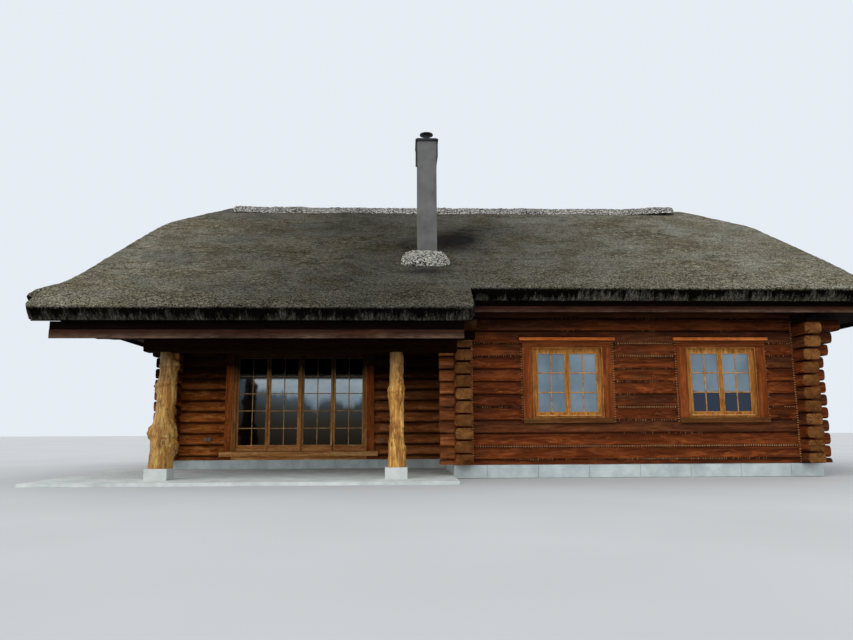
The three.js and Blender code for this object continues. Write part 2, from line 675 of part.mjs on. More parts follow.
function doorFrame() {
  const outline = onRecess(DOOR_LEFT_X, DOOR_RIGHT_X, doorBack, doorFront, PLINTH_TOP + GAP, DOOR_TOP);
  const holes = doorBays.map(([a, b]) => (
    onRecess(a, b, doorBack - 1, doorFront + 1, DOOR_SILL_TOP, doorHead)));
  const bed = planedFace + GAP;
  const inside = (w0, w1, z0) => onRecess(DOOR_LEFT_X + CASING_LAP, DOOR_RIGHT_X - CASING_LAP, w0, w1,
    z0, DOOR_TOP - CASING_LAP);
  const casing = onRecess(DOOR_LEFT_X - DOOR_CASING, DOOR_RIGHT_X + DOOR_CASING, bed, bed + CASING_THICK,
    DOOR_SILL_TOP - 4, DOOR_TOP + DOOR_HEAD_BOARD)
    .subtract(inside(bed - 1, bed + CASING_THICK + 1, 0));
  const link = onRecess(DOOR_LEFT_X, DOOR_RIGHT_X, doorFront - 2, bed + 2, PLINTH_TOP + GAP, DOOR_TOP)
    .subtract(inside(0, LOG_WIDTH, DOOR_SILL_TOP));
  const sillReach = DOOR_CASING + DOOR_SILL_EAR;
  const sill = onRecess(DOOR_LEFT_X - sillReach, DOOR_RIGHT_X + sillReach,
    bed, HALF_LOG + DOOR_SILL_REACH, DOOR_SILL_TOP - DOOR_SILL_HEIGHT, DOOR_SILL_TOP);
  const hinges = leaves.flatMap(({ hinge, side }) => (
    hingeLevels.map((z) => hingeHalf(hinge, -side, z - HINGE_LENGTH - GAP))));
  return join([cut(outline, holes), link, casing, sill, ...hinges]);
}

// A leaf and its pane; the pane sits in a groove of the leaf
function doorLeaf({ hinge, side }) {
  const near = hinge + side * LEAF_CLEAR;
  const far = near + side * leafWidth;
  const [u0, u1] = [Math.min(near, far), Math.max(near, far)];
  const z0 = DOOR_SILL_TOP + LEAF_CLEAR;
  const z1 = doorHead - LEAF_CLEAR;
  const w1 = doorBack + LEAF_THICK;
  const body = ring(onRecess, u0, u1, doorBack, w1, z0, z1, LEAF_STILE, LEAF_BOTTOM_RAIL);
  const middle = doorBack + LEAF_THICK / 2;
  const pane = (less) => onRecess(u0 + LEAF_STILE - PANE_EDGE + less, u1 - LEAF_STILE + PANE_EDGE - less,
    middle - PANE / 2 + less, middle + PANE / 2 - less,
    z0 + LEAF_BOTTOM_RAIL - PANE_EDGE + less, z1 - LEAF_STILE + PANE_EDGE - less);
  const hinges = hingeLevels.map((z) => hingeHalf(hinge, side, z));
  return { leaf: join([body.subtract(pane(0)), ...hinges]), glass: pane(GAP) };
}

// The opening that the door needs in the recess wall, with the planed bed of its casing
const doorReach = DOOR_CASING + PLANED_MARGIN;
const doorBed = onRecess(DOOR_LEFT_X - doorReach, DOOR_RIGHT_X + doorReach, planedFace, LOG_WIDTH,
  0, DOOR_TOP + DOOR_HEAD_BOARD + PLANED_RISE);

// Log walls. A stop past the longest log end lets the corner cuts shape the ends
const tipOf = (line, side) => line + side * (HALF_LOG + LONG_CORBELS[0] + 1);
const wallBottom = PLINTH_TOP + GAP;
const plateTop = WALL_TOP + 2 * LOG_PITCH;
const longEnd = (at, side, corbels = LONG_CORBELS) => ({ at, side, corbels, endTop: END_TOP_LONG });
const crossEnd = (at, side) => ({ at, side, corbels: CROSS_CORBELS, endTop: END_TOP_CROSS });
const beamedEnd = (at, side) => ({ at, side, corbels: [], endTop: SIDE_BEAM_TOP });

const frontWall = cut(
  wallAlongX(tipOf(WING_WALL_X, -1), tipOf(RIGHT_WALL_X, 1), FRONT_WALL_Y, wallBottom, plateTop, -1,
    [longEnd(WING_WALL_X, -1, TERRACE_CORBELS), longEnd(RIGHT_WALL_X, 1)]),
  [...cutsOn(onFront), ...roofCutters]);

const backWall = cut(
  wallAlongX(tipOf(LEFT_WALL_X, -1), tipOf(RIGHT_WALL_X, 1), BACK_WALL_Y, wallBottom, plateTop, 1,
    [longEnd(LEFT_WALL_X, -1), longEnd(RIGHT_WALL_X, 1)]),
  [...cutsOn(onBack), ...roofCutters]);

const rightEndWall = cut(
  wallAlongY(tipOf(FRONT_WALL_Y, -1), tipOf(BACK_WALL_Y, 1), RIGHT_WALL_X, wallBottom, WALL_TOP, 1,
    [crossEnd(FRONT_WALL_Y, -1), crossEnd(BACK_WALL_Y, 1)]),
  [...cutsOn(onRight), ...roofCutters]);

// The top courses of the left wall and of the wing's side wall run on as beams to the porch beam
const sideBeam = (centreX, startY) => wallAlongY(tipOf(POST_Y, -1), startY - HALF_LOG - BEAM_LAP, centreX,
  SIDE_BEAM_BOTTOM, SIDE_BEAM_TOP, 0, [beamedEnd(POST_Y, -1)]);

const leftEndWall = cut(
  join([
    wallAlongY(tipOf(RECESS_WALL_Y, -1), tipOf(BACK_WALL_Y, 1), LEFT_WALL_X, wallBottom, WALL_TOP, -1,
      [beamedEnd(RECESS_WALL_Y, -1), crossEnd(BACK_WALL_Y, 1)]),
    sideBeam(LEFT_WALL_X, RECESS_WALL_Y),
  ]),
  [...cutsOn(onLeft), ...roofCutters]);

const wingSideWall = cut(
  join([
    wallAlongY(tipOf(FRONT_WALL_Y, -1), RECESS_WALL_Y + HALF_LOG, WING_WALL_X, wallBottom, WALL_TOP, -1,
      [beamedEnd(FRONT_WALL_Y, -1)]),
    sideBeam(WING_WALL_X, FRONT_WALL_Y),
  ]),
  roofCutters);

const recessPiece = (x0, x1, z0, corners) => cut(
  wallAlongX(x0, x1, RECESS_WALL_Y, z0, WALL_TOP, -1, corners), [doorBed, ...soffitCutters]);
const recessLeft = recessPiece(tipOf(LEFT_WALL_X, -1), DOOR_LEFT_X - GAP, wallBottom,
  [longEnd(LEFT_WALL_X, -1, TERRACE_CORBELS)]);
const recessRight = recessPiece(DOOR_RIGHT_X + GAP, WING_WALL_X - HALF_LOG - GAP, wallBottom, []);
const recessOverDoor = recessPiece(DOOR_LEFT_X, DOOR_RIGHT_X, DOOR_TOP + GAP, []);

// Porch beam: two courses from end to end, and a lower one between the posts and the wing
const beamCorners = [
  { at: LEFT_WALL_X, side: -1, corbels: [], endTop: CEILING_Z },
  { at: WING_WALL_X, side: 1, corbels: [], endTop: CEILING_Z },
];
const beamJoint = BEAM_BOTTOM + LOG_PITCH;
const porchBeam = cut(
  join([
    wallAlongX(tipOf(LEFT_WALL_X, -1), WING_WALL_X + HALF_LOG, POST_Y, beamJoint, CEILING_Z, 0,
      beamCorners),
    sweepX(logSection(POST_Y, BEAM_BOTTOM, beamJoint + BEAM_LAP, FIRST_JOINT_LONG, 0),
      BEAM_LOW_LEFT_X, WING_WALL_X - HALF_LOG - GAP),
  ]),
  roofCutters);

const porchCeiling = block(LEFT_WALL_X + HALF_LOG + GAP, WING_WALL_X - HALF_LOG - GAP, CEILING_FRONT_Y,
  RECESS_WALL_Y - HALF_LOG - GAP, CEILING_Z + GAP, CEILING_Z + CEILING_THICK);

// Ground pieces: plinth and floor as one cast slab under each part of the house
const outerFace = (line, side) => line + side * (HALF_LOG - PLINTH_INSET);
const splitX = WING_WALL_X - HALF_LOG;
const roomLeft = LEFT_WALL_X + HALF_LOG + GAP;
const roomRight = RIGHT_WALL_X - HALF_LOG - GAP;
const roomFront = FRONT_WALL_Y + HALF_LOG + GAP;
const roomBack = BACK_WALL_Y - HALF_LOG - GAP;
const recessBack = RECESS_WALL_Y + HALF_LOG + GAP;

const floorPart = (x0, x1, y0, y1) => block(x0, x1, y0, y1, PLINTH_TOP - 5, FLOOR_TOP);
const plinthPart = (x0, x1, y0, y1) => block(x0, x1, y0, y1, 0, PLINTH_TOP);
const foundationWing = join([
  plinthPart(splitX, RIGHT_WALL_X + HALF_LOG + PLINTH_RIGHT_REACH,
    outerFace(FRONT_WALL_Y, -1), outerFace(BACK_WALL_Y, 1)),
  floorPart(WING_WALL_X + HALF_LOG + GAP, roomRight, roomFront, roomBack),
  floorPart(splitX, WING_WALL_X + HALF_LOG + 5, recessBack, roomBack),
]);
const foundationLeft = join([
  plinthPart(outerFace(LEFT_WALL_X, -1), splitX - GAP,
    outerFace(RECESS_WALL_Y, -1), outerFace(BACK_WALL_Y, 1)),
  floorPart(roomLeft, splitX - GAP, recessBack, roomBack),
  floorPart(DOOR_LEFT_X + GAP, DOOR_RIGHT_X - GAP, RECESS_WALL_Y - doorBack + GAP, recessBack + 5),
]);
const terraceSlab = block(SLAB_LEFT_X, splitX - SLAB_RIGHT_INSET,
  SLAB_FRONT_Y, outerFace(RECESS_WALL_Y, -1) - GAP, 0, SLAB_TOP);

// Porch posts: peeled trunks with knots. Each knot is a height, a direction, a bulge and a half length
function trunk(centreX, girth, knots) {
  const z0 = SLAB_TOP + BLOCK_HEIGHT + GAP;
  const height = BEAM_BOTTOM - GAP - z0;
  const geometry = new THREE.CylinderGeometry(1, 1, height, TRUNK_SIDES, TRUNK_RINGS);
  geometry.rotateX(Math.PI / 2);
  const place = geometry.attributes.position;
  for (let i = 0; i < place.count; i += 1) {
    const [u, v, w] = [place.getX(i), place.getY(i), place.getZ(i) + height / 2];
    const around = Math.atan2(v, u);
    const bulge = knots.reduce((sum, [level, toward, size, span]) => {
      const turn = Math.cos(around - toward);
      return sum + size * Math.exp(-(((w - level) / span) ** 2)) * Math.max(0, 0.35 + 0.65 * turn);
    }, 0);
    const radius = girth(w / height) + bulge;
    place.setXYZ(i, centreX + u * radius, POST_Y + v * radius, z0 + w);
  }
  return toSolid(geometry);
}

const leftTrunk = trunk(LEFT_POST_X, (t) => 165 - 42 * t + 46 * Math.exp(-((t / 0.07) ** 2)), [
  [630, -0.3, 100, 120], [600, Math.PI, 70, 130], [1430, Math.PI, 60, 60], [1870, 0, 62, 60],
]);
const rightTrunk = trunk(RIGHT_POST_X, (t) => 160 - 45 * Math.min(1, t / 0.75), [
  [1380, Math.PI, 22, 60], [900, 0.2, 10, 90],
]);

const postBlock = (x) => block(x - BLOCK_SIZE / 2, x + BLOCK_SIZE / 2,
  POST_Y - BLOCK_SIZE / 2, POST_Y + BLOCK_SIZE / 2, SLAB_TOP + GAP, SLAB_TOP + BLOCK_HEIGHT);

// Fascia boards on the rafter ends
function slopeFascia(edgeY, x0, x1, height) {
  const boardUnder = slopeLine(edgeY, boardBottom);
  const top = boardUnder - FASCIA_DROP;
  const [y0, y1] = [edgeY, edgeY + FASCIA_THICK - GAP];
  return block(x0, x1, y0, y1, top - height, top);
}

const mainFasciaEdge = -EAVE_Y + boardEdge;
const porchFasciaEdge = porchEaveY + boardEdge;
const frontFascia = slopeFascia(mainFasciaEdge, WING_WALL_X + HALF_LOG + GAP, MAIN_FASCIA_RIGHT,
  FASCIA_HEIGHT);
const porchFascia = slopeFascia(porchFasciaEdge, PORCH_FASCIA_LEFT, PORCH_FASCIA_RIGHT,
  PORCH_FASCIA_HEIGHT);
const backFascia = slopeFascia(mainFasciaEdge, -MAIN_FASCIA_RIGHT, MAIN_FASCIA_RIGHT, FASCIA_HEIGHT)
  .mirror([0, 1, 0]);

// Chimney
const stackBack = STACK_FRONT_Y + STACK_DEPTH;
const [regionFront, regionBack] = [STACK_FRONT_Y - STACK_ROOM, stackBack + STACK_ROOM];
const stackRegion = sweepX([
  [regionFront, slopeLine(regionFront, THATCH)],
  [regionBack, slopeLine(regionBack, THATCH)],
  [regionBack, ROOF_CEILING],
  [regionFront, ROOF_CEILING],
], STACK_X - STACK_WIDTH, STACK_X + STACK_WIDTH);
const stack = stackBox(0, WALL_TOP, STACK_TOP).intersect(stackRegion);

const stackLeft = STACK_X - STACK_WIDTH / 2 - GAP;
const stackRight = STACK_X + STACK_WIDTH / 2 + GAP;
const cap = join([
  block(stackLeft - CAP_OVERHANG, stackRight + CAP_OVERHANG,
    STACK_FRONT_Y - CAP_OVERHANG, stackBack + CAP_OVERHANG, STACK_TOP + GAP, STACK_TOP + CAP_THICK),
  block(stackLeft - FLAP_THICK, stackLeft, STACK_FRONT_Y, stackBack, STACK_TOP - FLAP_LEFT, STACK_TOP + 5),
  block(stackRight, stackRight + FLAP_THICK, STACK_FRONT_Y, stackBack,
    STACK_TOP - FLAP_RIGHT, STACK_TOP + 5),
]);

function cowlSolid() {
  const profile = [
    [0, 0], [COWL_RADIUS, 0], [COWL_RADIUS, COWL_NECK], [COWL_DISC_RADIUS, COWL_NECK + 8],
    [COWL_DISC_RADIUS, COWL_NECK + 28], [0, COWL_NECK + 45],
  ].map(([r, z]) => new THREE.Vector2(r, z));
  const geometry = new THREE.LatheGeometry(profile, 20);
  geometry.rotateX(Math.PI / 2);
  geometry.translate(STACK_X, STACK_FRONT_Y + STACK_DEPTH / 2, STACK_TOP + CAP_THICK + GAP);
  return toSolid(geometry);
}

// The collar is a pillow of reed on the slope in front of the stack, in three steps
function collarSolid() {
  const frontY = STACK_FRONT_Y - COLLAR_FRONT;
  const reach = 2 * COLLAR_TOE_HALF;
  const layer = (inset, thick) => {
    const wide = COLLAR_TOE_HALF - inset;
    const narrow = COLLAR_HEAD_HALF - inset;
    const headY = STACK_FRONT_Y - GAP - COLLAR_HEAD_SLANT * inset;
    const outline = [
      [COLLAR_X - wide, frontY + inset], [COLLAR_X + wide, frontY + inset],
      [COLLAR_X + narrow, headY], [COLLAR_X - narrow, headY],
    ];
    return raise(outline, WALL_TOP, ROOF_CEILING).intersect(
      slopeSlab(-thick, -GAP, frontY - reach, STACK_FRONT_Y + reach, COLLAR_X - reach, COLLAR_X + reach));
  };
  return join([layer(0, COLLAR_THICK * 0.45), layer(45, COLLAR_THICK * 0.8), layer(95, COLLAR_THICK)]);
}

// Ridge cap: a saddle of reed over both slopes
const ridgeTop = slopeHeight(0, 0);
const saddle = (y) => ridgeTop - ROOF_SLOPE * Math.abs(y) + GAP;
const ridgeCap = sweepX([
  [-RIDGE_CAP_WIDTH, saddle(RIDGE_CAP_WIDTH)], [0, saddle(0)], [RIDGE_CAP_WIDTH, saddle(RIDGE_CAP_WIDTH)],
  [RIDGE_CAP_WIDTH + 12, saddle(RIDGE_CAP_WIDTH) + 45], [120, saddle(120) + RIDGE_CAP_THICK],
  [0, saddle(0) + RIDGE_CAP_THICK - 30], [-120, saddle(120) + RIDGE_CAP_THICK],
  [-RIDGE_CAP_WIDTH - 12, saddle(RIDGE_CAP_WIDTH) + 45],
], -RIDGE_CAP_HALF, RIDGE_CAP_HALF);

// The house, one mesh a piece
const house = new THREE.Group();

function add(name, solid, material) {
  const mesh = new THREE.Mesh(toGeometry(solid), material);
  mesh.name = name;
  house.add(mesh);
}

add('foundation_wing', foundationWing, concrete);
add('foundation_left', foundationLeft, concrete);
add('terrace_slab', terraceSlab, concrete);
add('post_block_left', postBlock(LEFT_POST_X), concrete);
add('post_block_right', postBlock(RIGHT_POST_X), concrete);
add('porch_post_left', leftTrunk, peeledTrunk);
add('porch_post_right', rightTrunk, peeledTrunk);
add('porch_beam', porchBeam, roofTimber);
add('porch_ceiling', porchCeiling, roofTimber);

add('front_wall', frontWall, logWood);
add('back_wall', backWall, logWood);
add('right_end_wall', rightEndWall, logWood);
add('left_end_wall', leftEndWall, logWood);
add('wing_side_wall', wingSideWall, logWood);
add('recess_wall_left', recessLeft, logWood);
add('recess_wall_right', recessRight, logWood);
add('recess_wall_over_door', recessOverDoor, logWood);

for (const { name, place, centre } of windows) {
  const { frame, glass } = windowParts(place, centre);
  const casing = windowCasing(place, centre);
  if (place === onFront) {
    add(`${name}_casing`, casing, casingWood);
    add(`${name}_frame`, frame, joineryWood);
  } else {
    add(`${name}_frame`, join([frame, casing, windowLink(place, centre)]), joineryWood);
  }
  add(`${name}_glass`, glass, paneGlass);
}

add('terrace_door_frame', doorFrame(), joineryWood);
leaves.forEach((spot, n) => {
  const { leaf, glass } = doorLeaf(spot);
  add(`door_leaf_${n + 1}`, leaf, joineryWood);
  add(`door_leaf_${n + 1}_glass`, glass, paneGlass);
});

add('roof_frame_front', frameFront, roofTimber);
add('roof_frame_back', frameBack, roofTimber);
add('roof_frame_left', endFrame(boarding.left, -1), roofTimber);
add('roof_frame_right', endFrame(boarding.right, 1), roofTimber);
add('front_fascia', frontFascia, roofTimber);
add('porch_fascia', porchFascia, roofTimber);
add('back_fascia', backFascia, roofTimber);
add('thatch_front', thatch.front.subtract(stackHole), thatchReed);
add('thatch_back', thatch.back, thatchReed);
add('thatch_left_end', thatch.left, thatchReed);
add('thatch_right_end', thatch.right, thatchReed);
add('ridge_cap', ridgeCap, ridgeReed);

add('chimney_stack', stack, stackFace);
add('chimney_cap', cap, darkSheet);
add('chimney_cowl', cowlSolid(), darkSheet);
add('chimney_collar', collarSolid(), ridgeReed);

export default house;
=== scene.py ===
import math

import bpy
import numpy as np
from mathutils import Matrix, Vector


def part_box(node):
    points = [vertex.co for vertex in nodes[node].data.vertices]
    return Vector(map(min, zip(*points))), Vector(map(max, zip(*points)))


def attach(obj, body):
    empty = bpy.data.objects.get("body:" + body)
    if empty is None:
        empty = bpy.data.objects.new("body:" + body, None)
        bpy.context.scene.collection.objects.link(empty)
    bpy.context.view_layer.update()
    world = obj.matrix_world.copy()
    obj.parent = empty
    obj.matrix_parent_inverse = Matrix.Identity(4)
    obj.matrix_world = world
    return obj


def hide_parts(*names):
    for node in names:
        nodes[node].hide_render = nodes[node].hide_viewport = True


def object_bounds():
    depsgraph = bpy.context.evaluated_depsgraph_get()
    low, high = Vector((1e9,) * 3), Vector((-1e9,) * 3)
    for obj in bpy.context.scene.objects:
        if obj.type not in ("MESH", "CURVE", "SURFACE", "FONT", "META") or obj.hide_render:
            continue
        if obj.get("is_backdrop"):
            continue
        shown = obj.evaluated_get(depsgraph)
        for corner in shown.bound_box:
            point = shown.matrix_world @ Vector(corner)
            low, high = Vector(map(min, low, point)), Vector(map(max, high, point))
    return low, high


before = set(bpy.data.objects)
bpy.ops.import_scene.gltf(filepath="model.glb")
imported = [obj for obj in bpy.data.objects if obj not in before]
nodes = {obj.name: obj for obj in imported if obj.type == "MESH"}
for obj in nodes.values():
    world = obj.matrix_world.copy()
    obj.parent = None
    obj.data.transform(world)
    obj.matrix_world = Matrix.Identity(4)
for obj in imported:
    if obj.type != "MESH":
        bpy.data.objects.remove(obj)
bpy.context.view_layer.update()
scene = bpy.context.scene

# Photograph: size in pixels, focal length in pixels, and where the camera stood and looked
PHOTO_WIDTH = 853
FOCAL_PIXELS = 700.14
SENSOR = 36.0
CAMERA_PLACE = Vector((-1.440, -17.350, 0.951))
CAMERA_YAW = 0.03422
CAMERA_PITCH = 0.15358
CAMERA_ROLL = -0.00416

# Sizes shared with the part's source, in metres
HALF_LOG = 0.170
LOG_PITCH = 0.250
PLANED_FACE = 0.128
LEFT_X, WING_X, RIGHT_X = -6.680, -0.270, 6.500
FRONT_Y, RECESS_Y, BACK_Y, POST_Y = -3.530, -0.860, 3.530, -4.370
FIRST_LONG, FIRST_CROSS = 0.350, 0.475
WALL_BOTTOM = 0.2553
EAVE_X, EAVE_Y, EAVE_Z = 8.360, 4.450, 3.576
ROOF_SLOPE = 0.66
END_EAVE_Z = 3.420
FLARE_SLOPE, STEEP_SLOPE, CROWN_SLOPE = 0.62, 3.0, 0.58
STEEP_START, CROWN_START = 0.620, 1.300
FLARE_BLEND, CROWN_BLEND, HIP_BLEND = 0.260, 0.300, 0.120
THATCH = 0.270
PORCH_REACH = 0.760
PORCH_LEFT_X, PORCH_RIGHT_X = -8.020, -0.170

# Seeded lattice of numbers that every wave, tuft and hewn face is drawn from
LATTICE = np.random.default_rng(2611).random((32, 32, 32)) * 2 - 1


def noise(points, scale, seed=0.0):
    """Smooth noise from -1 to 1 at an array of points; scale is the size of one cell."""
    place = np.asarray(points, float) / scale + seed * 7.31
    cell = np.floor(place).astype(int)
    t = place - cell
    t = t * t * (3 - 2 * t)
    total = np.zeros(place.shape[:-1])
    for corner in range(8):
        step = np.array([corner & 1, corner >> 1 & 1, corner >> 2 & 1])
        index = (cell + step) % 32
        weight = np.prod(np.where(step, t, 1 - t), axis=-1)
        total += weight * LATTICE[index[..., 0], index[..., 1], index[..., 2]]
    return total


def waves(points, *terms):
    """The sum of several noises, each given as its scale, seed and height."""
    return sum(noise(points, scale, seed) * height for scale, seed, height in terms)


def line(s, a, b):
    """Points along the first axis, at a and b on the other two."""
    return np.stack([s, np.full_like(s, a), np.full_like(s, b)], -1)


# Node helpers
def linear(colour):
    """A node's colour from one grey value, three levels of 0 to 255, or anything that is one already."""
    if isinstance(colour, Value) or isinstance(colour, tuple) and len(colour) == 4:
        return colour
    if not isinstance(colour, tuple):
        return (colour, colour, colour, 1)
    levels = [v / 255 for v in colour]
    return (*(v / 12.92 if v <= 0.04045 else ((v + 0.055) / 1.055) ** 2.4 for v in levels), 1)


class Value:
    """A node's output, of which sums, differences and products can be taken."""

    def __init__(self, tree, socket):
        self.tree = tree
        self.socket = socket

    def __add__(self, other):
        return self.tree.math("ADD", self, other)

    def __sub__(self, other):
        return self.tree.math("SUBTRACT", self, other)

    def __rsub__(self, other):
        return self.tree.math("SUBTRACT", other, self)

    def __mul__(self, other):
        return self.tree.math("MULTIPLY", self, other)


class Tree:
    """One material, with short names for making and linking its nodes."""

    def __init__(self, name, roughness=0.8, metallic=0.0, specular=0.5):
        self.material = bpy.data.materials.new(name)
        self.material.use_nodes = True
        self.tree = self.material.node_tree
        self.shader = self.tree.nodes["Principled BSDF"].inputs
        self.put(self.shader["Roughness"], roughness)
        self.put(self.shader["Metallic"], metallic)
        self.put(self.shader["Specular IOR Level"], specular)
        self.place = self.node("TexCoord", "Object", {})

    def put(self, socket, value):
        if isinstance(value, Value):
            self.tree.links.new(value.socket, socket)
        else:
            socket.default_value = value

    def node(self, kind, output, inputs, **settings):
        """One output of a new node with these inputs and settings."""
        made = self.tree.nodes.new("ShaderNode" + kind)
        for key, value in settings.items():
            setattr(made, key, value)
        for key, value in inputs.items():
            self.put(made.inputs[key], value)
        return Value(self, made.outputs[output])

    def scaled(self, scale, vector=None, shift=(0, 0, 0)):
        return self.node("Mapping", "Vector", {"Vector": vector or self.place, "Scale": scale, "Location": shift})

    def noise(self, scale, detail=3, roughness=0.55, stretch=None, distortion=0, vector=None, shift=(0, 0, 0)):
        vector = vector or self.place
        if stretch is not None:
            vector = self.scaled(stretch, vector, shift)
        return self.node("TexNoise", "Fac", {"Vector": vector, "Scale": scale, "Detail": detail,
                                             "Roughness": roughness, "Distortion": distortion})

    def ramp(self, value, *stops):
        """Greys or colours along a value."""
        made = self.node("ValToRGB", "Color", {"Fac": value})
        spots = made.socket.node.color_ramp.elements
        while len(spots) < len(stops):
            spots.new(0.5)
        for spot, (position, colour) in zip(spots, stops):
            spot.position = position
            spot.color = linear(colour)
        return made

    def mix(self, fac, a, b, blend="MIX"):
        return self.node("Mix", 2, {0: fac, 6: linear(a), 7: linear(b)}, data_type="RGBA", blend_type=blend)

    def coats(self, colour, *layers):
        """Lays each colour over those before it as far as its own mask says."""
        for mask, over in layers:
            colour = self.mix(mask, colour, over)
        return colour

    def math(self, operation, a, b=0.0):
        return self.node("Math", 0, {0: a, 1: b}, operation=operation)

    def over(self, value, low, high):
        """0 below low, 1 above high."""
        return self.node("MapRange", "Result", {"Value": value, "From Min": low, "From Max": high}, clamp=True)

    def attribute(self, name, output="Fac"):
        return self.node("Attribute", output, {}, attribute_name=name)

    def split(self, vector=None):
        first = self.node("SeparateXYZ", 0, {0: vector or self.place})
        return [Value(self, socket) for socket in first.socket.node.outputs]

    def finish(self, colour, height=None, strength=0.5, distance=0.01):
        """Sets the colour and the bump, and gives the material."""
        self.put(self.shader["Base Color"], colour)
        if height:
            inputs = {"Height": height, "Strength": strength, "Distance": distance}
            self.put(self.shader["Normal"], self.node("Bump", "Normal", inputs))
        return self.material


# Palettes: dark, middle and light tones of 0 to 255, and where they lie along the grain
WOOD_STOPS = (0.30, 0.50, 0.72)
LOG_STOPS = (0.28, 0.50, 0.74)
RED_LOG = ((54, 22, 9), (116, 55, 24), (162, 87, 42))
# the next three palettes are the red stain painted lighter: painted light for logs in the porch's shade
WING_LOG_PAINTED_LIGHT = ((78, 36, 15), (152, 80, 38), (205, 120, 66))
RECESS_LOG_PAINTED_LIGHT = ((106, 48, 16), (182, 96, 40), (240, 150, 78))
LOG_PAINTED_LIGHT = ((110, 56, 28), (186, 108, 60), (232, 152, 96))
HONEY = ((130, 78, 30), (188, 124, 58), (222, 166, 94))
# lighter honey, painted light for the door under the porch roof
HONEY_PAINTED_LIGHT = ((156, 96, 46), (214, 146, 84), (240, 190, 126))
STAIN = ((76, 32, 12), (133, 65, 27), (172, 96, 47))
# lighter stain, painted light for the door's boards under the porch roof
STAIN_PAINTED_LIGHT = ((100, 44, 15), (164, 84, 34), (204, 120, 58))
STRIP = ((170, 80, 32), (222, 120, 56), (238, 150, 82))
SILL = ((66, 38, 16), (104, 66, 32), (140, 96, 52))


# Materials
def thatch_material(name, streak):
    """Weathered reed. streak is the scale that stretches its tufts along the eave."""
    t = Tree(name, 1.0, specular=0.02)
    eave, smoke_and_shade, depth = (t.attribute(key) for key in ("eave", "soot", "face"))
    x = t.split()[0]
    streak = np.array(streak)
    tufts = t.noise(1, 4, 0.72, streak, 0.4)
    combed = t.noise(1, 4, 0.6, 0.3 * streak, 0.7)
    smears = t.noise(1, 4, 0.62, 0.12 * streak, 0.8, shift=(4, 9, 2))
    patches = t.noise(0.6, 4, 0.6, (1, 1, 1.6), 0.3)
    browned = t.noise(0.9, 4, 0.62, (1, 1, 1.8), 0.5, shift=(7, 3, 5))
    grain = t.noise(30, 3, 0.80)
    specks = t.noise(25, 3, 0.75, (1, 1, 1), shift=(3, 8, 1))
    reed = t.coats(
        t.ramp(tufts, (0.36, (72, 65, 54)), (0.50, (128, 119, 101)), (0.64, (206, 196, 172))),
        (t.ramp(combed, (0.40, 0.60), (0.55, 0)), (66, 58, 46)),
        (t.ramp(smears, (0.46, 0), (0.60, 0.55)), (164, 158, 144)),
        (t.ramp(patches, (0.44, 0), (0.60, 0.38)), (156, 157, 152)),
        (t.ramp(browned, (0.49, 0), (0.62, 0.50)), (100, 88, 62)),
        (t.ramp(specks, (0.50, 0), (0.58, 1)) * (eave * 0.55 + 0.20), (216, 208, 174)),
        (t.ramp(grain, (0.40, 1), (0.52, 0)) * (eave * 0.50 + 0.62), (30, 25, 18)))
    # paler towards both ends, darkest to the left of the chimney
    bright = t.ramp(t.over(x + (patches - 0.5) * 5, -8.4, 8.4), (0.02, 0.82), (0.09, 0.76), (0.16, 0.53),
                    (0.28, 0.37), (0.38, 0.26), (0.51, 0.39), (0.62, 0.50), (0.73, 0.70), (0.88, 0.86), (1, 0.92))
    # smoke stains, and painted shadow below the chimney's collar, darken the reed here
    reed = t.mix(smoke_and_shade * 0.92, t.mix(1, reed, bright, "MULTIPLY"), (27, 27, 27))
    # drips that run down the eave face
    drip = np.array((1, 0.22, 0.22) if streak[0] < streak[1] else (0.22, 1, 0.22))
    streaks = t.noise(1, 4, 0.68, 12 * drip, 0.6)
    runs = t.noise(1, 3, 0.6, 3.4 * drip, 0.4, shift=(2, 2, 2))
    stretch = t.noise(0.8, 2, 0.5, (1, 1, 0.2), shift=(5, 1, 9))
    strands = t.noise(1, 4, 0.75, 38 * drip, 0.5)
    level = streaks * 2.6 + runs * 2.4 + stretch * 1.6 + depth * 1.3 + (grain - 0.5) * 1.6
    butts = t.ramp(strands, (0.36, (30, 28, 22)), (0.50, (74, 70, 60)), (0.64, (124, 119, 106)))
    paler = t.mix(t.over(x, -1.5, 0.6), (212, 212, 212), (255, 255, 255))
    edge = t.mix(t.over(level, 3.85, 4.65), (9, 7, 5), t.mix(1, butts, paler, "MULTIPLY"))
    fringe = t.ramp(depth + grain * 0.80, (0.43, 0), (0.52, 1)) * t.math("GREATER_THAN", depth, 0.001)
    return t.finish(t.mix(fringe, reed, edge), tufts + grain * 0.6, 1, 0.035)


def wood_material(name, tones, roughness=0.55, along=(0.8, 14, 14), gloss=0.25, weather=0.0, edge=0.0,
                  shaded=None):
    """Stained or peeled wood. along stretches its grain, edge pales the lower arris of a board, and shaded
    gives the heights between which painted shade darkens it."""
    t = Tree(name, roughness, specular=gloss)
    grain = t.noise(1, 5, 0.6, along, 0.6)
    fine = t.noise(1, 3, 0.7, tuple(6 * v for v in along))
    blotch = t.noise(1.3, 3, 0.5)
    wood = t.mix(t.ramp(fine, (0.40, 0.5), (0.58, 0)), t.ramp(grain, *zip(WOOD_STOPS, tones)), tones[0])
    if weather:
        wood = t.mix(t.ramp(blotch, (0.45, 0), (0.68, weather)), wood, (58, 40, 30))
    if edge:
        patchy = t.ramp(blotch, (0.40, 0.15), (0.62, edge)) * t.ramp(fine, (0.40, 0.3), (0.60, 1))
        wood = t.mix(t.over(t.attribute("low"), 0.35, 0.95) * patchy, wood, (150, 122, 100))
    # painted shade: black between the shaded heights
    if shaded:
        wood = t.mix(t.over(t.split()[2], *shaded) * 0.97, wood, (6, 1, 1))
    t.put(t.shader["Roughness"], t.ramp(grain, (0.3, roughness + 0.12), (0.7, roughness - 0.08)))
    return t.finish(wood, grain + fine * 0.6, 0.35, 0.006)


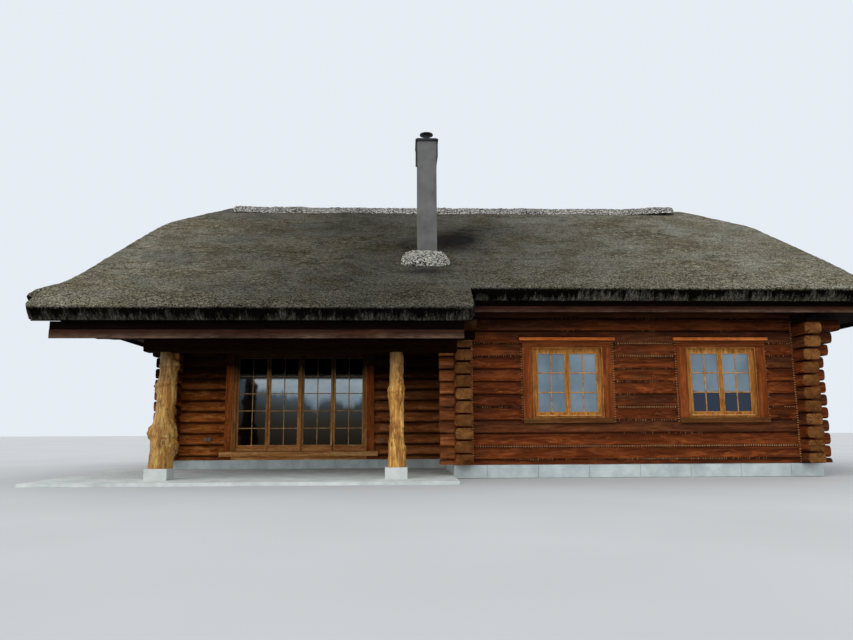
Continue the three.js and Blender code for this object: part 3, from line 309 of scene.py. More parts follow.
def trunk_material():
    """Peeled trunk: blond wood with brown cracks, dark eyes and rings at the knots, and painted shade of the porch
    roof toward the top.
    """
    t = Tree("peeled_trunk", 0.55, specular=0.3)
    knot = t.attribute("knot")
    x, _, z = t.split()
    grain = t.noise(1, 5, 0.62, (11, 11, 1.3), 1.2)
    fine = t.noise(1, 3, 0.7, (60, 60, 7))
    blotch = t.noise(2.6, 4, 0.6, distortion=0.8)
    crack = t.noise(1, 3, 0.6, (7, 7, 0.9), 0.5, shift=(4, 4, 4))
    rings = t.math("SINE", knot * 26)
    wood = t.coats(
        t.ramp(grain, (0.33, (152, 88, 29)), (0.48, (206, 146, 64)), (0.64, (250, 204, 118))),
        (t.ramp(fine, (0.38, 0.25), (0.52, 0)), (136, 82, 32)),
        (t.ramp(blotch, (0.52, 0), (0.70, 0.55)), (150, 92, 38)),
        (t.ramp(crack, (0.480, 0), (0.497, 0.85), (0.515, 0)), (74, 42, 18)),
        (t.over(knot, 0.10, 0.4) * t.ramp(rings, (0.3, 0), (0.9, 0.75)), (112, 60, 20)),
        (t.over(knot, 0.80, 0.97) * 0.7, (104, 62, 26)),
        # painted shade of the porch roof toward the post's top
        (t.over(z, 1.55, 2.40) * 0.84, (44, 14, 0)))
    # the left post is darker than the right one
    left_post_darker = t.ramp(t.over(x, -4, -3), (0, 0.68), (1, 1))
    return t.finish(t.mix(1, wood, left_post_darker, "MULTIPLY"), grain + fine + rings * 0.2, 0.6, 0.01)


def log_material(name, tones, worn_most=0.55, shade=(2.58, 3.12, 0.72), joint_from=0.76, gloss=0.05, lift=None):
    """Stained log faces. Every log has its own tone, and a painted shadow of the log above darkens it upward to
    the joint above it;
    shade gives the heights between which painted shade of the eave or the porch darkens the wall, and how far.
    lift gives the span along x over which the wood turns lighter, painted light."""
    t = Tree(name, 0.8, specular=gloss)
    own = t.attribute("grain", "Vector")
    tone = t.attribute("tone")
    level = t.split(own)[2]
    x, _, z = t.split()
    grain = t.noise(1, 6, 0.62, (0.9, 10, 10), 0.9, own)
    fine = t.noise(1, 4, 0.7, (5, 70, 70), 0, own)
    zones = t.noise(1, 3, 0.6, (0.55, 3.2, 3.2), 0.5, own)
    rubbed = t.noise(1, 4, 0.7, (2.4, 9, 9), 0.6, own, (6, 2, 4))
    knots = t.node("TexVoronoi", "Distance", {"Vector": t.scaled((1.6, 4.2, 4.2), own)})
    wood = t.ramp(grain, *zip(LOG_STOPS, tones))
    # painted light: the wood turns lighter along x where the porch roof shades it
    if lift:
        wood = t.mix(t.over(x, *lift), wood, t.ramp(grain, *zip(LOG_STOPS, LOG_PAINTED_LIGHT)))
    glow = (*(min(1, 1.35 * v) for v in linear(tones[2])[:3]), 1)
    grey = t.ramp(grain, (0.30, (38, 26, 18)), (0.55, (76, 54, 37)), (0.80, (112, 84, 58)))
    wood = t.coats(
        wood,
        (t.ramp(rubbed, (0.52, 0), (0.68, 0.6)), glow),
        (t.ramp(zones + tone * 0.22, (0.50, 0), (0.66, worn_most)), grey),
        (t.ramp(fine, (0.38, 0.45), (0.56, 0)), (36, 18, 9)),
        # painted shadow of the log above, darker towards each log's top
        (t.over(level, -0.07, 0.12) * 0.55, (34, 14, 7)),
        (t.ramp(t.math("ABSOLUTE", level * 8), (joint_from, 0), (1, 0.85)), (22, 9, 4)),
        (t.ramp(knots, (0.05, 0.85), (0.11, 0)), (34, 16, 8)),
        # painted shade of the eave or the porch between the shade heights
        (t.over(z, *shade[:2]) * shade[2], (6, 1, 0)))
    return t.finish(wood, grain + fine * 0.5, 0.5, 0.008)


def end_material(name, tones):
    """End grain: rings about each log's own heart, with drying cracks. Black in the shade under the eave."""
    t = Tree(name, 0.9, specular=0.04)
    tone = t.attribute("tone")
    _, across, up = t.split(t.attribute("grain", "Vector"))
    radius = t.math("SQRT", across * across + up * up)
    rings = t.math("SINE", (radius + t.noise(7, 2) * 0.05) * 420)
    about = t.node("CombineXYZ", 0, {0: t.math("ARCTAN2", up, across) * 2.2, 1: tone})
    split_dark = t.ramp(t.noise(1, 2, 0.5, vector=about), (0.480, 0), (0.50, 0.9), (0.520, 0))
    # the tips of the side beams lie in the shade of the lower eave
    _, forward, height = t.split()
    dim = t.math("MAXIMUM", t.over(height, 2.90, 3.00) * 0.96, t.over(forward, -4.40, -4.60) * 0.80)
    wood = t.coats(
        t.ramp(t.noise(5, 4, 0.6) + tone * 0.12, *zip((0.30, 0.55, 0.80), tones)),
        (t.ramp(rings, (0.2, 0), (0.9, 0.35)), (58, 32, 15)), (split_dark, (22, 11, 6)), (dim, (6, 2, 1)))
    return t.finish(wood, rings - split_dark * 3, 0.3, 0.004)


def frame_material(name, axis, spans, top, bottom, strip=99, shaded=None, rail=-1):
    """Honey frames within stained casing boards, with painted shade on the boards over each opening. spans are the
    centre and half width of each opening, shaded the heights between which painted shade darkens the wood, where
    honey and stain are also painted lighter, and rail the top of a honey rail with lying grain."""
    t = Tree(name, 0.62, specular=0.05)
    x, y, z = t.split()
    along = x if axis == "x" else y
    outside = None
    for centre, half in spans:
        gap = t.math("ABSOLUTE", along - centre) - half
        outside = t.math("MINIMUM", outside, gap) if outside else gap
    head = t.math("GREATER_THAN", z, top)
    foot = t.math("LESS_THAN", z, bottom)
    railing = t.math("LESS_THAN", z, rail)
    level = t.math("MAXIMUM", t.math("MAXIMUM", head, foot), railing)
    casing = t.math("MAXIMUM", t.math("GREATER_THAN", outside, 0), head)
    casing = t.math("MAXIMUM", casing - railing, 0)

    def grained(size):
        upright = t.noise(size, 5, 0.62, (13, 13, 0.9), 0.9)
        lying = t.noise(size, 5, 0.62, (0.9, 14, 14) if axis == "x" else (14, 0.9, 14), 0.9)
        return level * (lying - upright) + upright

    grain, fine = grained(1), grained(6)
    # where shaded, lighter honey and stain: painted light for the door under the porch roof
    woods = (HONEY_PAINTED_LIGHT, STAIN_PAINTED_LIGHT, STRIP, SILL) if shaded else (HONEY, STAIN, STRIP, SILL)
    honey, stain, capping, sill = (t.ramp(grain, *zip(WOOD_STOPS, tones)) for tones in woods)
    # head * 0.40 lays painted shade on the boards over the opening
    wood = t.coats(
        honey, (casing, stain), (head * 0.40, (40, 14, 4)),
        (t.math("GREATER_THAN", z, strip), capping), (foot, sill),
        (t.ramp(fine, (0.40, 0.5), (0.58, 0)), (70, 34, 14)),
        (t.ramp(t.noise(5, 4, 0.65), (0.52, 0), (0.70, 0.45)), (76, 36, 16)))
    # painted shade of the porch between the shaded heights
    if shaded:
        wood = t.mix(t.over(z, *shaded) * 0.96, wood, (6, 1, 1))
    return t.finish(wood, grain + fine * 0.6, 0.35, 0.006)


def concrete_material(name, light, dark):
    t = Tree(name, 0.9, specular=0.2)
    cloud = t.noise(3, 5, 0.6)
    grit = t.noise(140, 3, 0.7)
    stain = t.noise(1, 4, 0.6, (2.5, 2.5, 0.6))
    body = t.coats(t.ramp(cloud, (0.30, dark), (0.65, light)), (t.ramp(grit, (0.36, 0.45), (0.50, 0)), dark),
                   (t.ramp(stain, (0.58, 0), (0.80, 0.30)), (140, 138, 126)))
    return t.finish(body, grit + cloud * 0.5, 0.4, 0.004)


def sheet_material(name, light, dark, metallic, roughness):
    t = Tree(name, roughness, metallic, 0.4)
    cloud = t.noise(2.4, 4, 0.6)
    runs = t.noise(1, 4, 0.6, (14, 14, 0.7))
    body = t.mix(t.ramp(runs, (0.50, 0), (0.75, 0.35)), t.ramp(cloud, (0.30, dark), (0.70, light)), dark)
    t.put(t.shader["Roughness"], t.ramp(cloud, (0.3, roughness + 0.1), (0.7, roughness - 0.05)))
    return t.finish(body, t.noise(220, 2, 0.6) + cloud, 0.15, 0.002)


def glass_material():
    """Window panes with a painted reflection of a grey sky, and of a dark hill low in the right-hand front window.
    """
    t = Tree("window_glass", 0.03, 0.0, 0.35)
    t.put(t.shader["IOR"], 1.6)
    x, y, z = t.split()
    # sky and hill are a painted reflection
    sky = t.ramp(t.noise(0.9, 4, 0.55, distortion=0.4), (0.35, (99, 118, 130)), (0.65, (136, 154, 166)))
    crest = z - t.noise(1.6, 3, 0.5) * 0.35
    hill = t.over(crest, 1.47, 1.44) * t.over(x, 3.6, 3.7) * t.over(y, -3.0, -3.1)
    t.put(t.shader["Roughness"], t.ramp(t.noise(5, 4, 0.6), (0.35, 0.02), (0.75, 0.07)))
    return t.finish(t.mix(hill, sky, (14, 31, 54)))


def door_glass_material():
    """Door panes with a painted reflection: the porch's shade above, a bright sky, and dark hills and garden
    below.
    """
    t = Tree("door_glass", 0.05, 0.92, 0.5)
    x, _, z = t.split()
    wave = (t.noise(2.4, 4, 0.6, (1, 1, 0.3), 0.6) - 0.5) * 0.9
    skyline = 2.10 - t.over(x, -5.15, -3.70) * 0.50
    garden = t.ramp(t.over(z, 0.55, 1.75), (0, (34, 28, 20)), (0.45, (46, 41, 33)), (0.75, (60, 62, 60)),
                    (1, (88, 99, 108)))
    garden = t.mix(t.over(x, -4.0, -5.2) * 0.60, garden, (20, 17, 11))
    cloud = t.noise(1.4, 4, 0.6, (1, 1, 2.2), 0.4)
    sky = t.ramp(t.over(z, 1.55, 2.10), (0, (124, 138, 145)), (1, (170, 176, 176)))
    sky = t.mix(t.ramp(cloud, (0.42, 0), (0.64, 0.35)), sky, (100, 116, 132))
    # the garden and the sky are a painted reflection
    seen = t.mix(t.over(z - skyline + wave, -0.10, 0.07), garden, sky)
    # painted shade of the porch at the top of the panes
    return t.finish(t.mix(t.over(z, 2.20, 2.23), seen, (5, 4, 4)))


def rope_material():
    """Rope stitched into the joints: every stitch has its own tone, pale or stained as the wall is, with painted
    shade in the porch and under the eave.
    """
    t = Tree("chinking_rope", 0.9, specular=0.1)
    fibre = t.noise(150, 3, 0.6)
    tone = t.attribute("tone")
    rope = t.coats(
        t.ramp(fibre, (0.3, (188, 124, 70)), (0.7, (236, 194, 142))), (t.over(tone, 0.25, 0.72), (84, 38, 15)),
        # tone past 1 is painted shade in the porch; the last layer is painted shade under the eave
        (t.over(tone, 1.0, 1.3), (34, 14, 6)), (t.over(t.split()[2], 2.58, 3.12) * 0.75, (0, 0, 0)))
    return t.finish(rope, fibre, 0.5, 0.003)


def reed_cap_material(name, light, dark, glint):
    t = Tree(name, 0.95, specular=0.12)
    tufts = t.noise(25, 4, 0.75, distortion=0.5)
    fine = t.noise(34, 3, 0.75)
    body = t.coats(t.ramp(tufts, (0.43, dark), (0.49, light), (0.56, glint)),
                   (t.ramp(t.noise(1.6, 3, 0.5), (0.48, 0), (0.70, 0.3)), dark),
                   (t.ramp(fine, (0.40, 0.75), (0.50, 0)), dark))
    return t.finish(body, tufts + fine, 1, 0.025)


# Walls: the axis they run along, their centre plane and which way they face, and the middles of their windows
WALLS = {
    "front": ("x", FRONT_Y, -1), "back": ("x", BACK_Y, 1), "right": ("y", RIGHT_X, 1), "left": ("y", LEFT_X, -1),
    "recess": ("x", RECESS_Y, -1), "wing": ("y", WING_X, -1), "beam": ("x", POST_Y, -1),
}
WINDOWS_IN = {"front": (1.805, 4.885), "back": (-3.600, 3.300), "right": (0.0,), "left": (1.400,)}
WINDOW_HALF, WINDOW_FOOT, WINDOW_HEAD, HEAD_STRIP = 0.695, 1.144, 2.519, 2.659
DOOR_MIDDLE, DOOR_TOP = -3.8075, 2.700

MAT = {
    "thatch_long": thatch_material("thatch_long_slopes", (9, 27, 27)),
    "thatch_end": thatch_material("thatch_hip_ends", (27, 9, 27)),
    "ridge": reed_cap_material("ridge_reed", (120, 116, 109), (32, 28, 24), (226, 221, 211)),
    "collar": reed_cap_material("collar_reed", (131, 129, 120), (29, 27, 22), (220, 217, 204)),
    # log materials: painted shade under the eave or the porch roof darkens each over its shade heights
    "log": log_material("stained_logs", RED_LOG),
    # the front logs' tips beyond the wing's corner are painted lighter: painted light under the porch roof
    "front_log": log_material("front_logs", RED_LOG, lift=(-0.40, -0.46)),
    # a lighter palette, painted light, with painted shade of the porch from 1.65 m up
    "wing_log": log_material("wing_side_logs", WING_LOG_PAINTED_LIGHT, shade=(1.65, 2.45, 0.80)),
    # a lighter palette painted light, more of it right of the door, wider dark joints painted as shade on the
    # round logs, and painted shade of the porch from 1.40 m up
    "recess_log": log_material("recess_logs", RECESS_LOG_PAINTED_LIGHT, 0.2, (1.40, 2.24, 0.965), 0.50, 0.03, (-2.6, -2.2)),
    "log_end": end_material("log_end_grain", ((80, 46, 22), (122, 77, 40), (158, 110, 62))),
    # the porch beam and its ends are painted near black: painted shade under the porch roof
    "beam": log_material("beam_logs_painted_shade", ((5, 2, 1), (10, 4, 2), (17, 8, 4)), 0.0, gloss=0.01),
    "beam_end": end_material("beam_end_grain_painted_shade", ((18, 10, 6), (32, 18, 10), (46, 28, 16))),
    "rope": rope_material(),
    "fascia": wood_material("fascia_boards", ((29, 13, 9), (52, 28, 19), (77, 46, 31)), 0.8, (0.9, 9, 9), 0.05,
                            weather=0.45, edge=0.45),
    # the set-back fascia boards and the roof timber are painted near black: painted shade under the eaves and the
    # porch roof
    "fascia_dark": wood_material("fascia_back_boards_painted_shade", ((7, 3, 3), (12, 6, 5), (22, 12, 9)), 0.9, gloss=0.02),
    "timber": wood_material("roof_timber", ((8, 4, 3), (18, 10, 7), (32, 19, 13)), 0.9, gloss=0.02),
    "bars": wood_material("glazing_bars", ((150, 92, 38), (204, 144, 76), (230, 184, 112)), 0.5, (9, 9, 9)),
    # door bars: painted shade of the porch toward their top
    "door_bars": wood_material("door_glazing_bars", ((146, 96, 50), (198, 150, 96), (226, 190, 138)), 0.5,
                               (9, 9, 9), shaded=(2.0, 2.28)),
    # door leaves and boards: lighter wood painted light, and painted shade of the porch toward their top
    "leaf": frame_material("door_leaf_wood", "x", [(DOOR_MIDDLE, 1.6)], DOOR_TOP, 0, shaded=(1.95, 2.36),
                           rail=0.578),
    "door_frame": frame_material("door_boards", "x", [(DOOR_MIDDLE, 1.5425)], DOOR_TOP, 0, shaded=(1.95, 2.42),
                                 rail=0.4425),
    "trunk": trunk_material(),
    "concrete": concrete_material("cast_concrete", (226, 230, 226), (194, 200, 196)),
    "plinth": concrete_material("plinth_slabs", (209, 217, 216), (172, 183, 183)),
    "stack": sheet_material("stack_render", (115, 114, 111), (90, 89, 87), 0.0, 0.75),
    "dark_sheet": sheet_material("dark_sheet", (56, 57, 60), (28, 29, 32), 0.6, 0.5),
    "glass": glass_material(),
    "door_glass": door_glass_material(),
    "box": sheet_material("socket_boxes", (120, 112, 100), (80, 72, 62), 0.0, 0.45),
}
# window boards: painted shade on the head over each opening
for side, middles in WINDOWS_IN.items():
    spans = [(c, WINDOW_HALF) for c in middles]
    MAT[f"{side}_frames"] = frame_material(f"{side}_window_boards", WALLS[side][0], spans, WINDOW_HEAD,
                                           WINDOW_FOOT, HEAD_STRIP)


# Mesh building
class Build:
    """Collects faces and point values, then makes one object of them."""

    def __init__(self):
        self.points, self.loops, self.totals, self.kinds, self.values = [], [], [], [], {}
        self.count = 0

    def add(self, points, faces, material=0, **values):
        """Faces are an array, a list of faces of any size, or a tuple of these, each with its own material
        where material is a tuple too."""
        points = np.asarray(points, float).reshape(-1, 3)
        self.points.append(points)
        groups = faces if isinstance(faces, tuple) else (faces,)
        kinds = material if isinstance(material, tuple) else (material,) * len(groups)
        for group, kind in zip(groups, kinds):
            self.loops.append(np.concatenate(group) + self.count)
            self.totals += [len(face) for face in group]
            self.kinds += [kind] * len(group)
        for key, value in values.items():
            self.values.setdefault(key, []).append((self.count, np.asarray(value, float)))
        self.count += len(points)

    def tube(self, rings, material=0, turned=False, **values):
        """A closed skin over rings of points with a face over each end, turned over where its wall asks for it."""
        rings = np.asarray(rings, float)
        count, size = rings.shape[:2]
        faces = [*ring_quads(count, size), np.arange(size)[::-1], np.arange(size) + size * (count - 1)]
        self.add(rings, [face[::-1] for face in faces] if turned else faces, material, **values)

    def box(self, x0, x1, y0, y1, z0, z1):
        self.tube([[(x0, y0, z), (x1, y0, z), (x1, y1, z), (x0, y1, z)] for z in (z0, z1)])

    def make(self, name, materials, body="root", replaces=(), smooth=True):
        mesh = bpy.data.meshes.new(name)
        points = np.concatenate(self.points).astype(np.float32)
        loops = np.concatenate(self.loops).astype(np.int32)
        totals = np.array(self.totals, np.int32)
        mesh.vertices.add(len(points))
        mesh.vertices.foreach_set("co", points.ravel())
        mesh.loops.add(len(loops))
        mesh.loops.foreach_set("vertex_index", loops)
        mesh.polygons.add(len(totals))
        mesh.polygons.foreach_set("loop_start", (np.cumsum(totals) - totals).astype(np.int32))
        mesh.polygons.foreach_set("loop_total", totals)
        mesh.polygons.foreach_set("material_index", np.array(self.kinds, np.int32))
        mesh.polygons.foreach_set("use_smooth", np.full(len(totals), smooth))
        for key, runs in self.values.items():
            vector = any(v.ndim == 2 for _, v in runs)
            data = np.zeros((len(points), 3) if vector else len(points), np.float32)
            for start, value in runs:
                data[start:start + len(value)] = value
            layer = mesh.attributes.new(key, "FLOAT_VECTOR" if vector else "FLOAT", "POINT")
            layer.data.foreach_set("vector" if vector else "value", data.ravel())
        mesh.validate()
        mesh.update()
        if smooth:
            mesh.set_sharp_from_angle(angle=math.radians(55))
        for material in materials:
            mesh.materials.append(MAT[material])
        piece = bpy.data.objects.new(name, mesh)
        scene.collection.objects.link(piece)
        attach(piece, body)
        if replaces:
            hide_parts(*replaces)
        return piece


def ring_quads(count, ring):
    """Quads between count closed rings of ring points each."""
    a = np.arange(count - 1)[:, None] * ring
    r = np.arange(ring)[None, :]
    s = (r + 1) % ring
    return np.stack([a + r, a + s, a + ring + s, a + ring + r], -1).reshape(-1, 4)


def bevel(piece, width):
    made = piece.modifiers.new("soft_edges", "BEVEL")
    made.width = width
    made.segments = 2
    made.limit_method = "ANGLE"
    made.angle_limit = math.radians(40)


# Roof form, as in the part's source
def smooth_min(a, b, blend):
    near = np.maximum(blend - np.abs(a - b), 0) / blend
    return np.minimum(a, b) - near * near * blend / 4


def end_height(inward):
    flare = END_EAVE_Z + FLARE_SLOPE * inward
    foot = END_EAVE_Z + FLARE_SLOPE * STEEP_START
    steep = foot + STEEP_SLOPE * (inward - STEEP_START)
    shoulder = foot + STEEP_SLOPE * (CROWN_START - STEEP_START)
    crown = shoulder + CROWN_SLOPE * (inward - CROWN_START)
    return smooth_min(-smooth_min(-flare, -steep, FLARE_BLEND), crown, CROWN_BLEND)


def roof_height(x, y):
    slope = EAVE_Z + ROOF_SLOPE * (EAVE_Y - np.abs(y))
    return smooth_min(slope, end_height(EAVE_X - np.abs(x)), HIP_BLEND)


def hip_inward(inward):
    return np.clip((end_height(inward) - EAVE_Z) / ROOF_SLOPE, 0, EAVE_Y)


def roof_normal(x, y):
    step = 0.004
    side = np.where(np.abs(y) < step, 0.0, 1.0)
    dx = (roof_height(x + step, y) - roof_height(x - step, y)) / (2 * step)
    dy = (roof_height(x, y + step) - roof_height(x, y - step)) / (2 * step) * side
    normal = np.stack([-dx, -dy, np.ones_like(dx)], -1)
    return normal / np.linalg.norm(normal, axis=-1, keepdims=True)


FACE_ROWS, FILLET = 9, 0.032
# smoke-stained places, and last the painted shadow below the chimney's collar: middle, reach and how dark
SOOT_AND_SHADE = (((-0.28, -2.15, 5.10), (0.72, 0.85, 0.85), 1.35), ((0.6, -1.55, 5.5), (0.9, 0.6, 0.6), 0.45),
        ((-1.38, -2.50, 4.90), (0.26, 0.55, 0.55), 0.60), ((-0.95, -3.75, 4.05), (0.60, 0.24, 0.30), 0.75))


def soot(points):
    """Where smoke stains the reed black beside and above the chimney, and where painted shadow darkens it below
    the collar.
    """
    dark = 0
    for middle, reach, most in SOOT_AND_SHADE:
        d = (points - np.array(middle)) / np.array(reach)
        dark = dark + most * np.exp(-np.sum(d * d, -1) * 1.6)
    return np.clip(dark * (1 + noise(points, 0.5, 3) * 0.35), 0, 1)


def thatch_shell(node, x, y, splits, outward, material):
    """One closed part of the thatch. x and y are grids whose rows run up from the eave, splits the rows at which
    its underside and its ends are divided, and outward the way its eave faces."""
    top = np.stack([x, y, roof_height(x, y)], -1)
    normal = roof_normal(x, y)
    lip = top[:, 0] - THATCH * normal[:, 0]
    steps = np.arange(1, FACE_ROWS) / FACE_ROWS
    face = top[:, 0, None] * (1 - steps[None, :, None]) + lip[:, None] * steps[None, :, None]
    bulge = np.sin(steps * math.pi) ** 0.8 * 0.022
    lean = outward(top[:, 0]) if callable(outward) else np.broadcast_to(outward, lip.shape)
    face = face + lean[:, None] * bulge[None, :, None]
    # the edge is rounded over
    run = np.linalg.norm(np.diff(top, axis=1), axis=-1).cumsum(1)
    run = np.concatenate([np.zeros((len(top), 1)), run], 1)
    turn = (FILLET - run) / (2 * FILLET) * math.pi / 2
    lift = np.where(run < FILLET, FILLET * (np.cos(turn) - 1), 0)
    pull = np.where(run < FILLET, run - FILLET + FILLET * np.sin(turn), 0)
    surface = top + normal * lift[..., None] + lean[:, None] * pull[..., None]
    drop = steps * THATCH
    turn = (FILLET + drop) / (2 * FILLET) * math.pi / 2
    sink = np.where(drop < FILLET, FILLET * (np.sin(turn) - 1), 0)
    rise = np.where(drop < FILLET, drop - FILLET + FILLET * np.cos(turn), 0)
    face = face + lean[:, None] * sink[None, :, None] + normal[:, 0, None] * rise[None, :, None]
    # tufts, hollows and ragged butts
    streak = np.array([0.16, 0.05, 0.05] if material == "thatch_long" else [0.05, 0.16, 0.05])
    relief = waves(top, (streak, 1, 0.009), (streak * 0.45, 2, 0.005), (0.38, 4, 0.009), (1.7, 5, 0.016))
    surface = surface + normal * relief[..., None]
    ragged = waves(face, ((0.05, 0.05, 0.22), 6, 0.010), (0.02, 7, 0.006), (0.7, 8, 0.012))
    face = face + lean[:, None] * ragged[..., None]
    frayed = lean * waves(lip, (0.05, 9, 0.008))[..., None]
    lip = lip + frayed + np.array([0, 0, 1]) * waves(lip, (0.035, 10, 0.007))[..., None]
    under = (top - THATCH * normal)[:, splits]
    under[:, 0] = lip
    ring = np.concatenate([surface, under[:, ::-1], face[:, ::-1]], 1)
    count, size = ring.shape[:2]
    rows, lows = x.shape[1], len(splits)
    depth, eave, shade = np.zeros((3, count, size))
    depth[:, rows + lows:] = steps[::-1]
    depth[:, rows + lows - 1] = 1.0
    eave[:, :rows] = np.exp(-run / 0.85)
    # smoke stains, with painted shadow below the collar
    shade[:, :rows] = soot(top)
    caps = []
    for start, way in ((0, 1), (size * (count - 1), -1)):
        for n in range(lows - 1):
            low = rows + lows - 1 - n
            cell = [*range(splits[n], splits[n + 1] + 1), low - 1, low]
            if n == 0:
                cell += range(rows + lows, size)
            caps.append(start + np.array(cell[::way]))
    build = Build()
    build.add(ring, (ring_quads(count, size)[:, ::-1], caps), face=depth.ravel(), eave=eave.ravel(),
              soot=shade.ravel())
    build.make(f"{node}_reed", [material], replaces=[node])


def even_stops(first, last, spacing):
    """Distances in from the end eave, evenly spaced along its S-shaped profile."""
    fine = np.linspace(first, last, 900)
    height = end_height(fine)
    run = np.concatenate([[0], np.cumsum(np.hypot(np.diff(fine), np.diff(height)))])
    count = int(run[-1] / spacing) + 1
    return np.interp(np.linspace(0, run[-1], count), run, fine)


SCAN = np.linspace(0, 4, 8001)
CORNER_STOP, CROWN_STOP = np.interp([EAVE_Z, EAVE_Z + ROOF_SLOPE * EAVE_Y], end_height(SCAN), SCAN) + (0.0, -0.001)
HIP_STOPS = even_stops(CORNER_STOP, CROWN_STOP, 0.042)
VERGE_ROUND = 0.13
VERGES = ((PORCH_RIGHT_X, 1), (PORCH_LEFT_X, -1))
SLOPE_OUT = np.array([0, -0.835, -0.551])


def front_columns():
    """Columns of the front slope and where each starts: the eave drops over the porch, with rounded corners."""
    hip = EAVE_X - HIP_STOPS
    middle = np.arange(hip[-1] - 0.037, -hip[-1] + 0.01, -0.037)
    x = np.unique(np.round(np.concatenate([-hip, middle[::-1], hip[::-1]]), 5))
    x = x[(np.abs(x - PORCH_RIGHT_X) >= 0.012) & (np.abs(x - PORCH_LEFT_X) >= 0.008)]
    eave = np.full_like(x, -EAVE_Y)
    inside = (x > PORCH_LEFT_X) & (x < PORCH_RIGHT_X)
    d = np.minimum(np.abs(x - PORCH_RIGHT_X), np.abs(x - PORCH_LEFT_X))
    turn = np.clip(VERGE_ROUND - d, 0, VERGE_ROUND)
    eave[inside] = -EAVE_Y - PORCH_REACH
    eave[inside] += VERGE_ROUND - np.sqrt(VERGE_ROUND ** 2 - turn[inside] ** 2)
    verge_y = np.arange(-EAVE_Y - PORCH_REACH + VERGE_ROUND, -EAVE_Y + 0.001, 0.035)
    for at, side in VERGES:
        x = np.concatenate([x, at + np.linspace(-0.002, 0.002, len(verge_y)) * side])
        eave = np.concatenate([eave, verge_y])
    order = np.argsort(x, kind="stable")
    return x[order], eave[order]


def front_out(edge):
    """Which way the front's eave faces: out of the slope, and sideways at the two verges of the porch."""
    lean = np.tile(SLOPE_OUT, (len(edge), 1))
    for at, side in VERGES:
        lean[np.abs(edge[:, 0] - at) < 0.0025] = (side * 0.97, -0.1, -0.2)
    return lean


def long_slope(node, x, eave, hip, rows, split, outward):
    eave = np.broadcast_to(eave, x.shape)[:, None]
    y = eave + (hip[:, None] - eave) * np.linspace(0, 1, rows)
    thatch_shell(node, np.broadcast_to(x[:, None], y.shape), y, [0, split, rows - 1], outward, "thatch_long")


columns, eaves = front_columns()
hip = np.minimum(-EAVE_Y + hip_inward(EAVE_X - np.abs(columns)), -0.0002)
long_slope("thatch_front", columns, eaves, hip, 138, 4, front_out)
stops = EAVE_X - HIP_STOPS
columns = np.concatenate([stops, np.arange(stops[-1] - 0.07, -stops[-1] + 0.03, -0.07), -stops[::-1]])
hip = np.maximum(EAVE_Y - hip_inward(EAVE_X - np.abs(columns)), 0.0002)
long_slope("thatch_back", columns, EAVE_Y, hip, 76, 3, SLOPE_OUT * (1, -1, 1))
stops = np.concatenate([np.linspace(0, CORNER_STOP, 8)[:-1], HIP_STOPS])
splits = sorted({*range(0, len(stops), 7), len(stops) - 1})
half = np.maximum(EAVE_Y - hip_inward(stops), 0.002)
for side, way in (("left", -1), ("right", 1)):
    y = (np.linspace(-1, 1, 170) * way)[:, None] * half[None, :]
    x = np.broadcast_to(way * (EAVE_X - stops)[None, :], y.shape)
    thatch_shell(f"thatch_{side}_end", x, y, splits, np.array([way * 0.85, 0, -0.527]), "thatch_end")


# Log walls
PROFILE_AT = np.array([-1.0, -0.95, -0.84, -0.60, -0.20, 0.20, 0.60, 0.84, 0.95, 1.0])
PROFILE_OUT = np.array([0.134, 0.150, 0.161, 0.168, 0.172, 0.172, 0.168, 0.161, 0.150, 0.134])
TIP_ROUND, TIP_GAP, TIP_STOPS = 0.050, 0.085, np.array([0.004, 0.012, 0.024, 0.042, 0.065])
END_REACH = 0.28
# planed beds round the openings: half width of the flat, foot and head, and how fast the log swells beyond
BED_FLAT, BED_FOOT, BED_HEAD, BED_RISE = 0.905, 0.994, 2.767, 0.27
SCALLOP = np.array([0.0, 0.025, 0.05, 0.08, 0.11, 0.14, 0.17])
DOOR_BED_LEFT, DOOR_BED_RIGHT, DOOR_BED_HEAD, DOOR_FLAT = -5.610, -2.005, 2.870, 0.06
DOOR_CUT = (-5.350, -2.265, 0.0, DOOR_TOP)
HEWN, CHIPPED = (0.35, 0.16, 1.0), (0.09, 0.05, 1.0)


def wall_map(axis, centre, outward):
    """Turns points given along a wall, outward from its centre plane and in height into places in the model."""
    def place(points):
        s, w, z = np.moveaxis(np.asarray(points, float), -1, 0)
        return np.stack([s, centre + outward * w, z] if axis == "x" else [centre + outward * w, s, z], -1)
    flip = outward < 0 if axis == "x" else outward > 0
    return place, flip


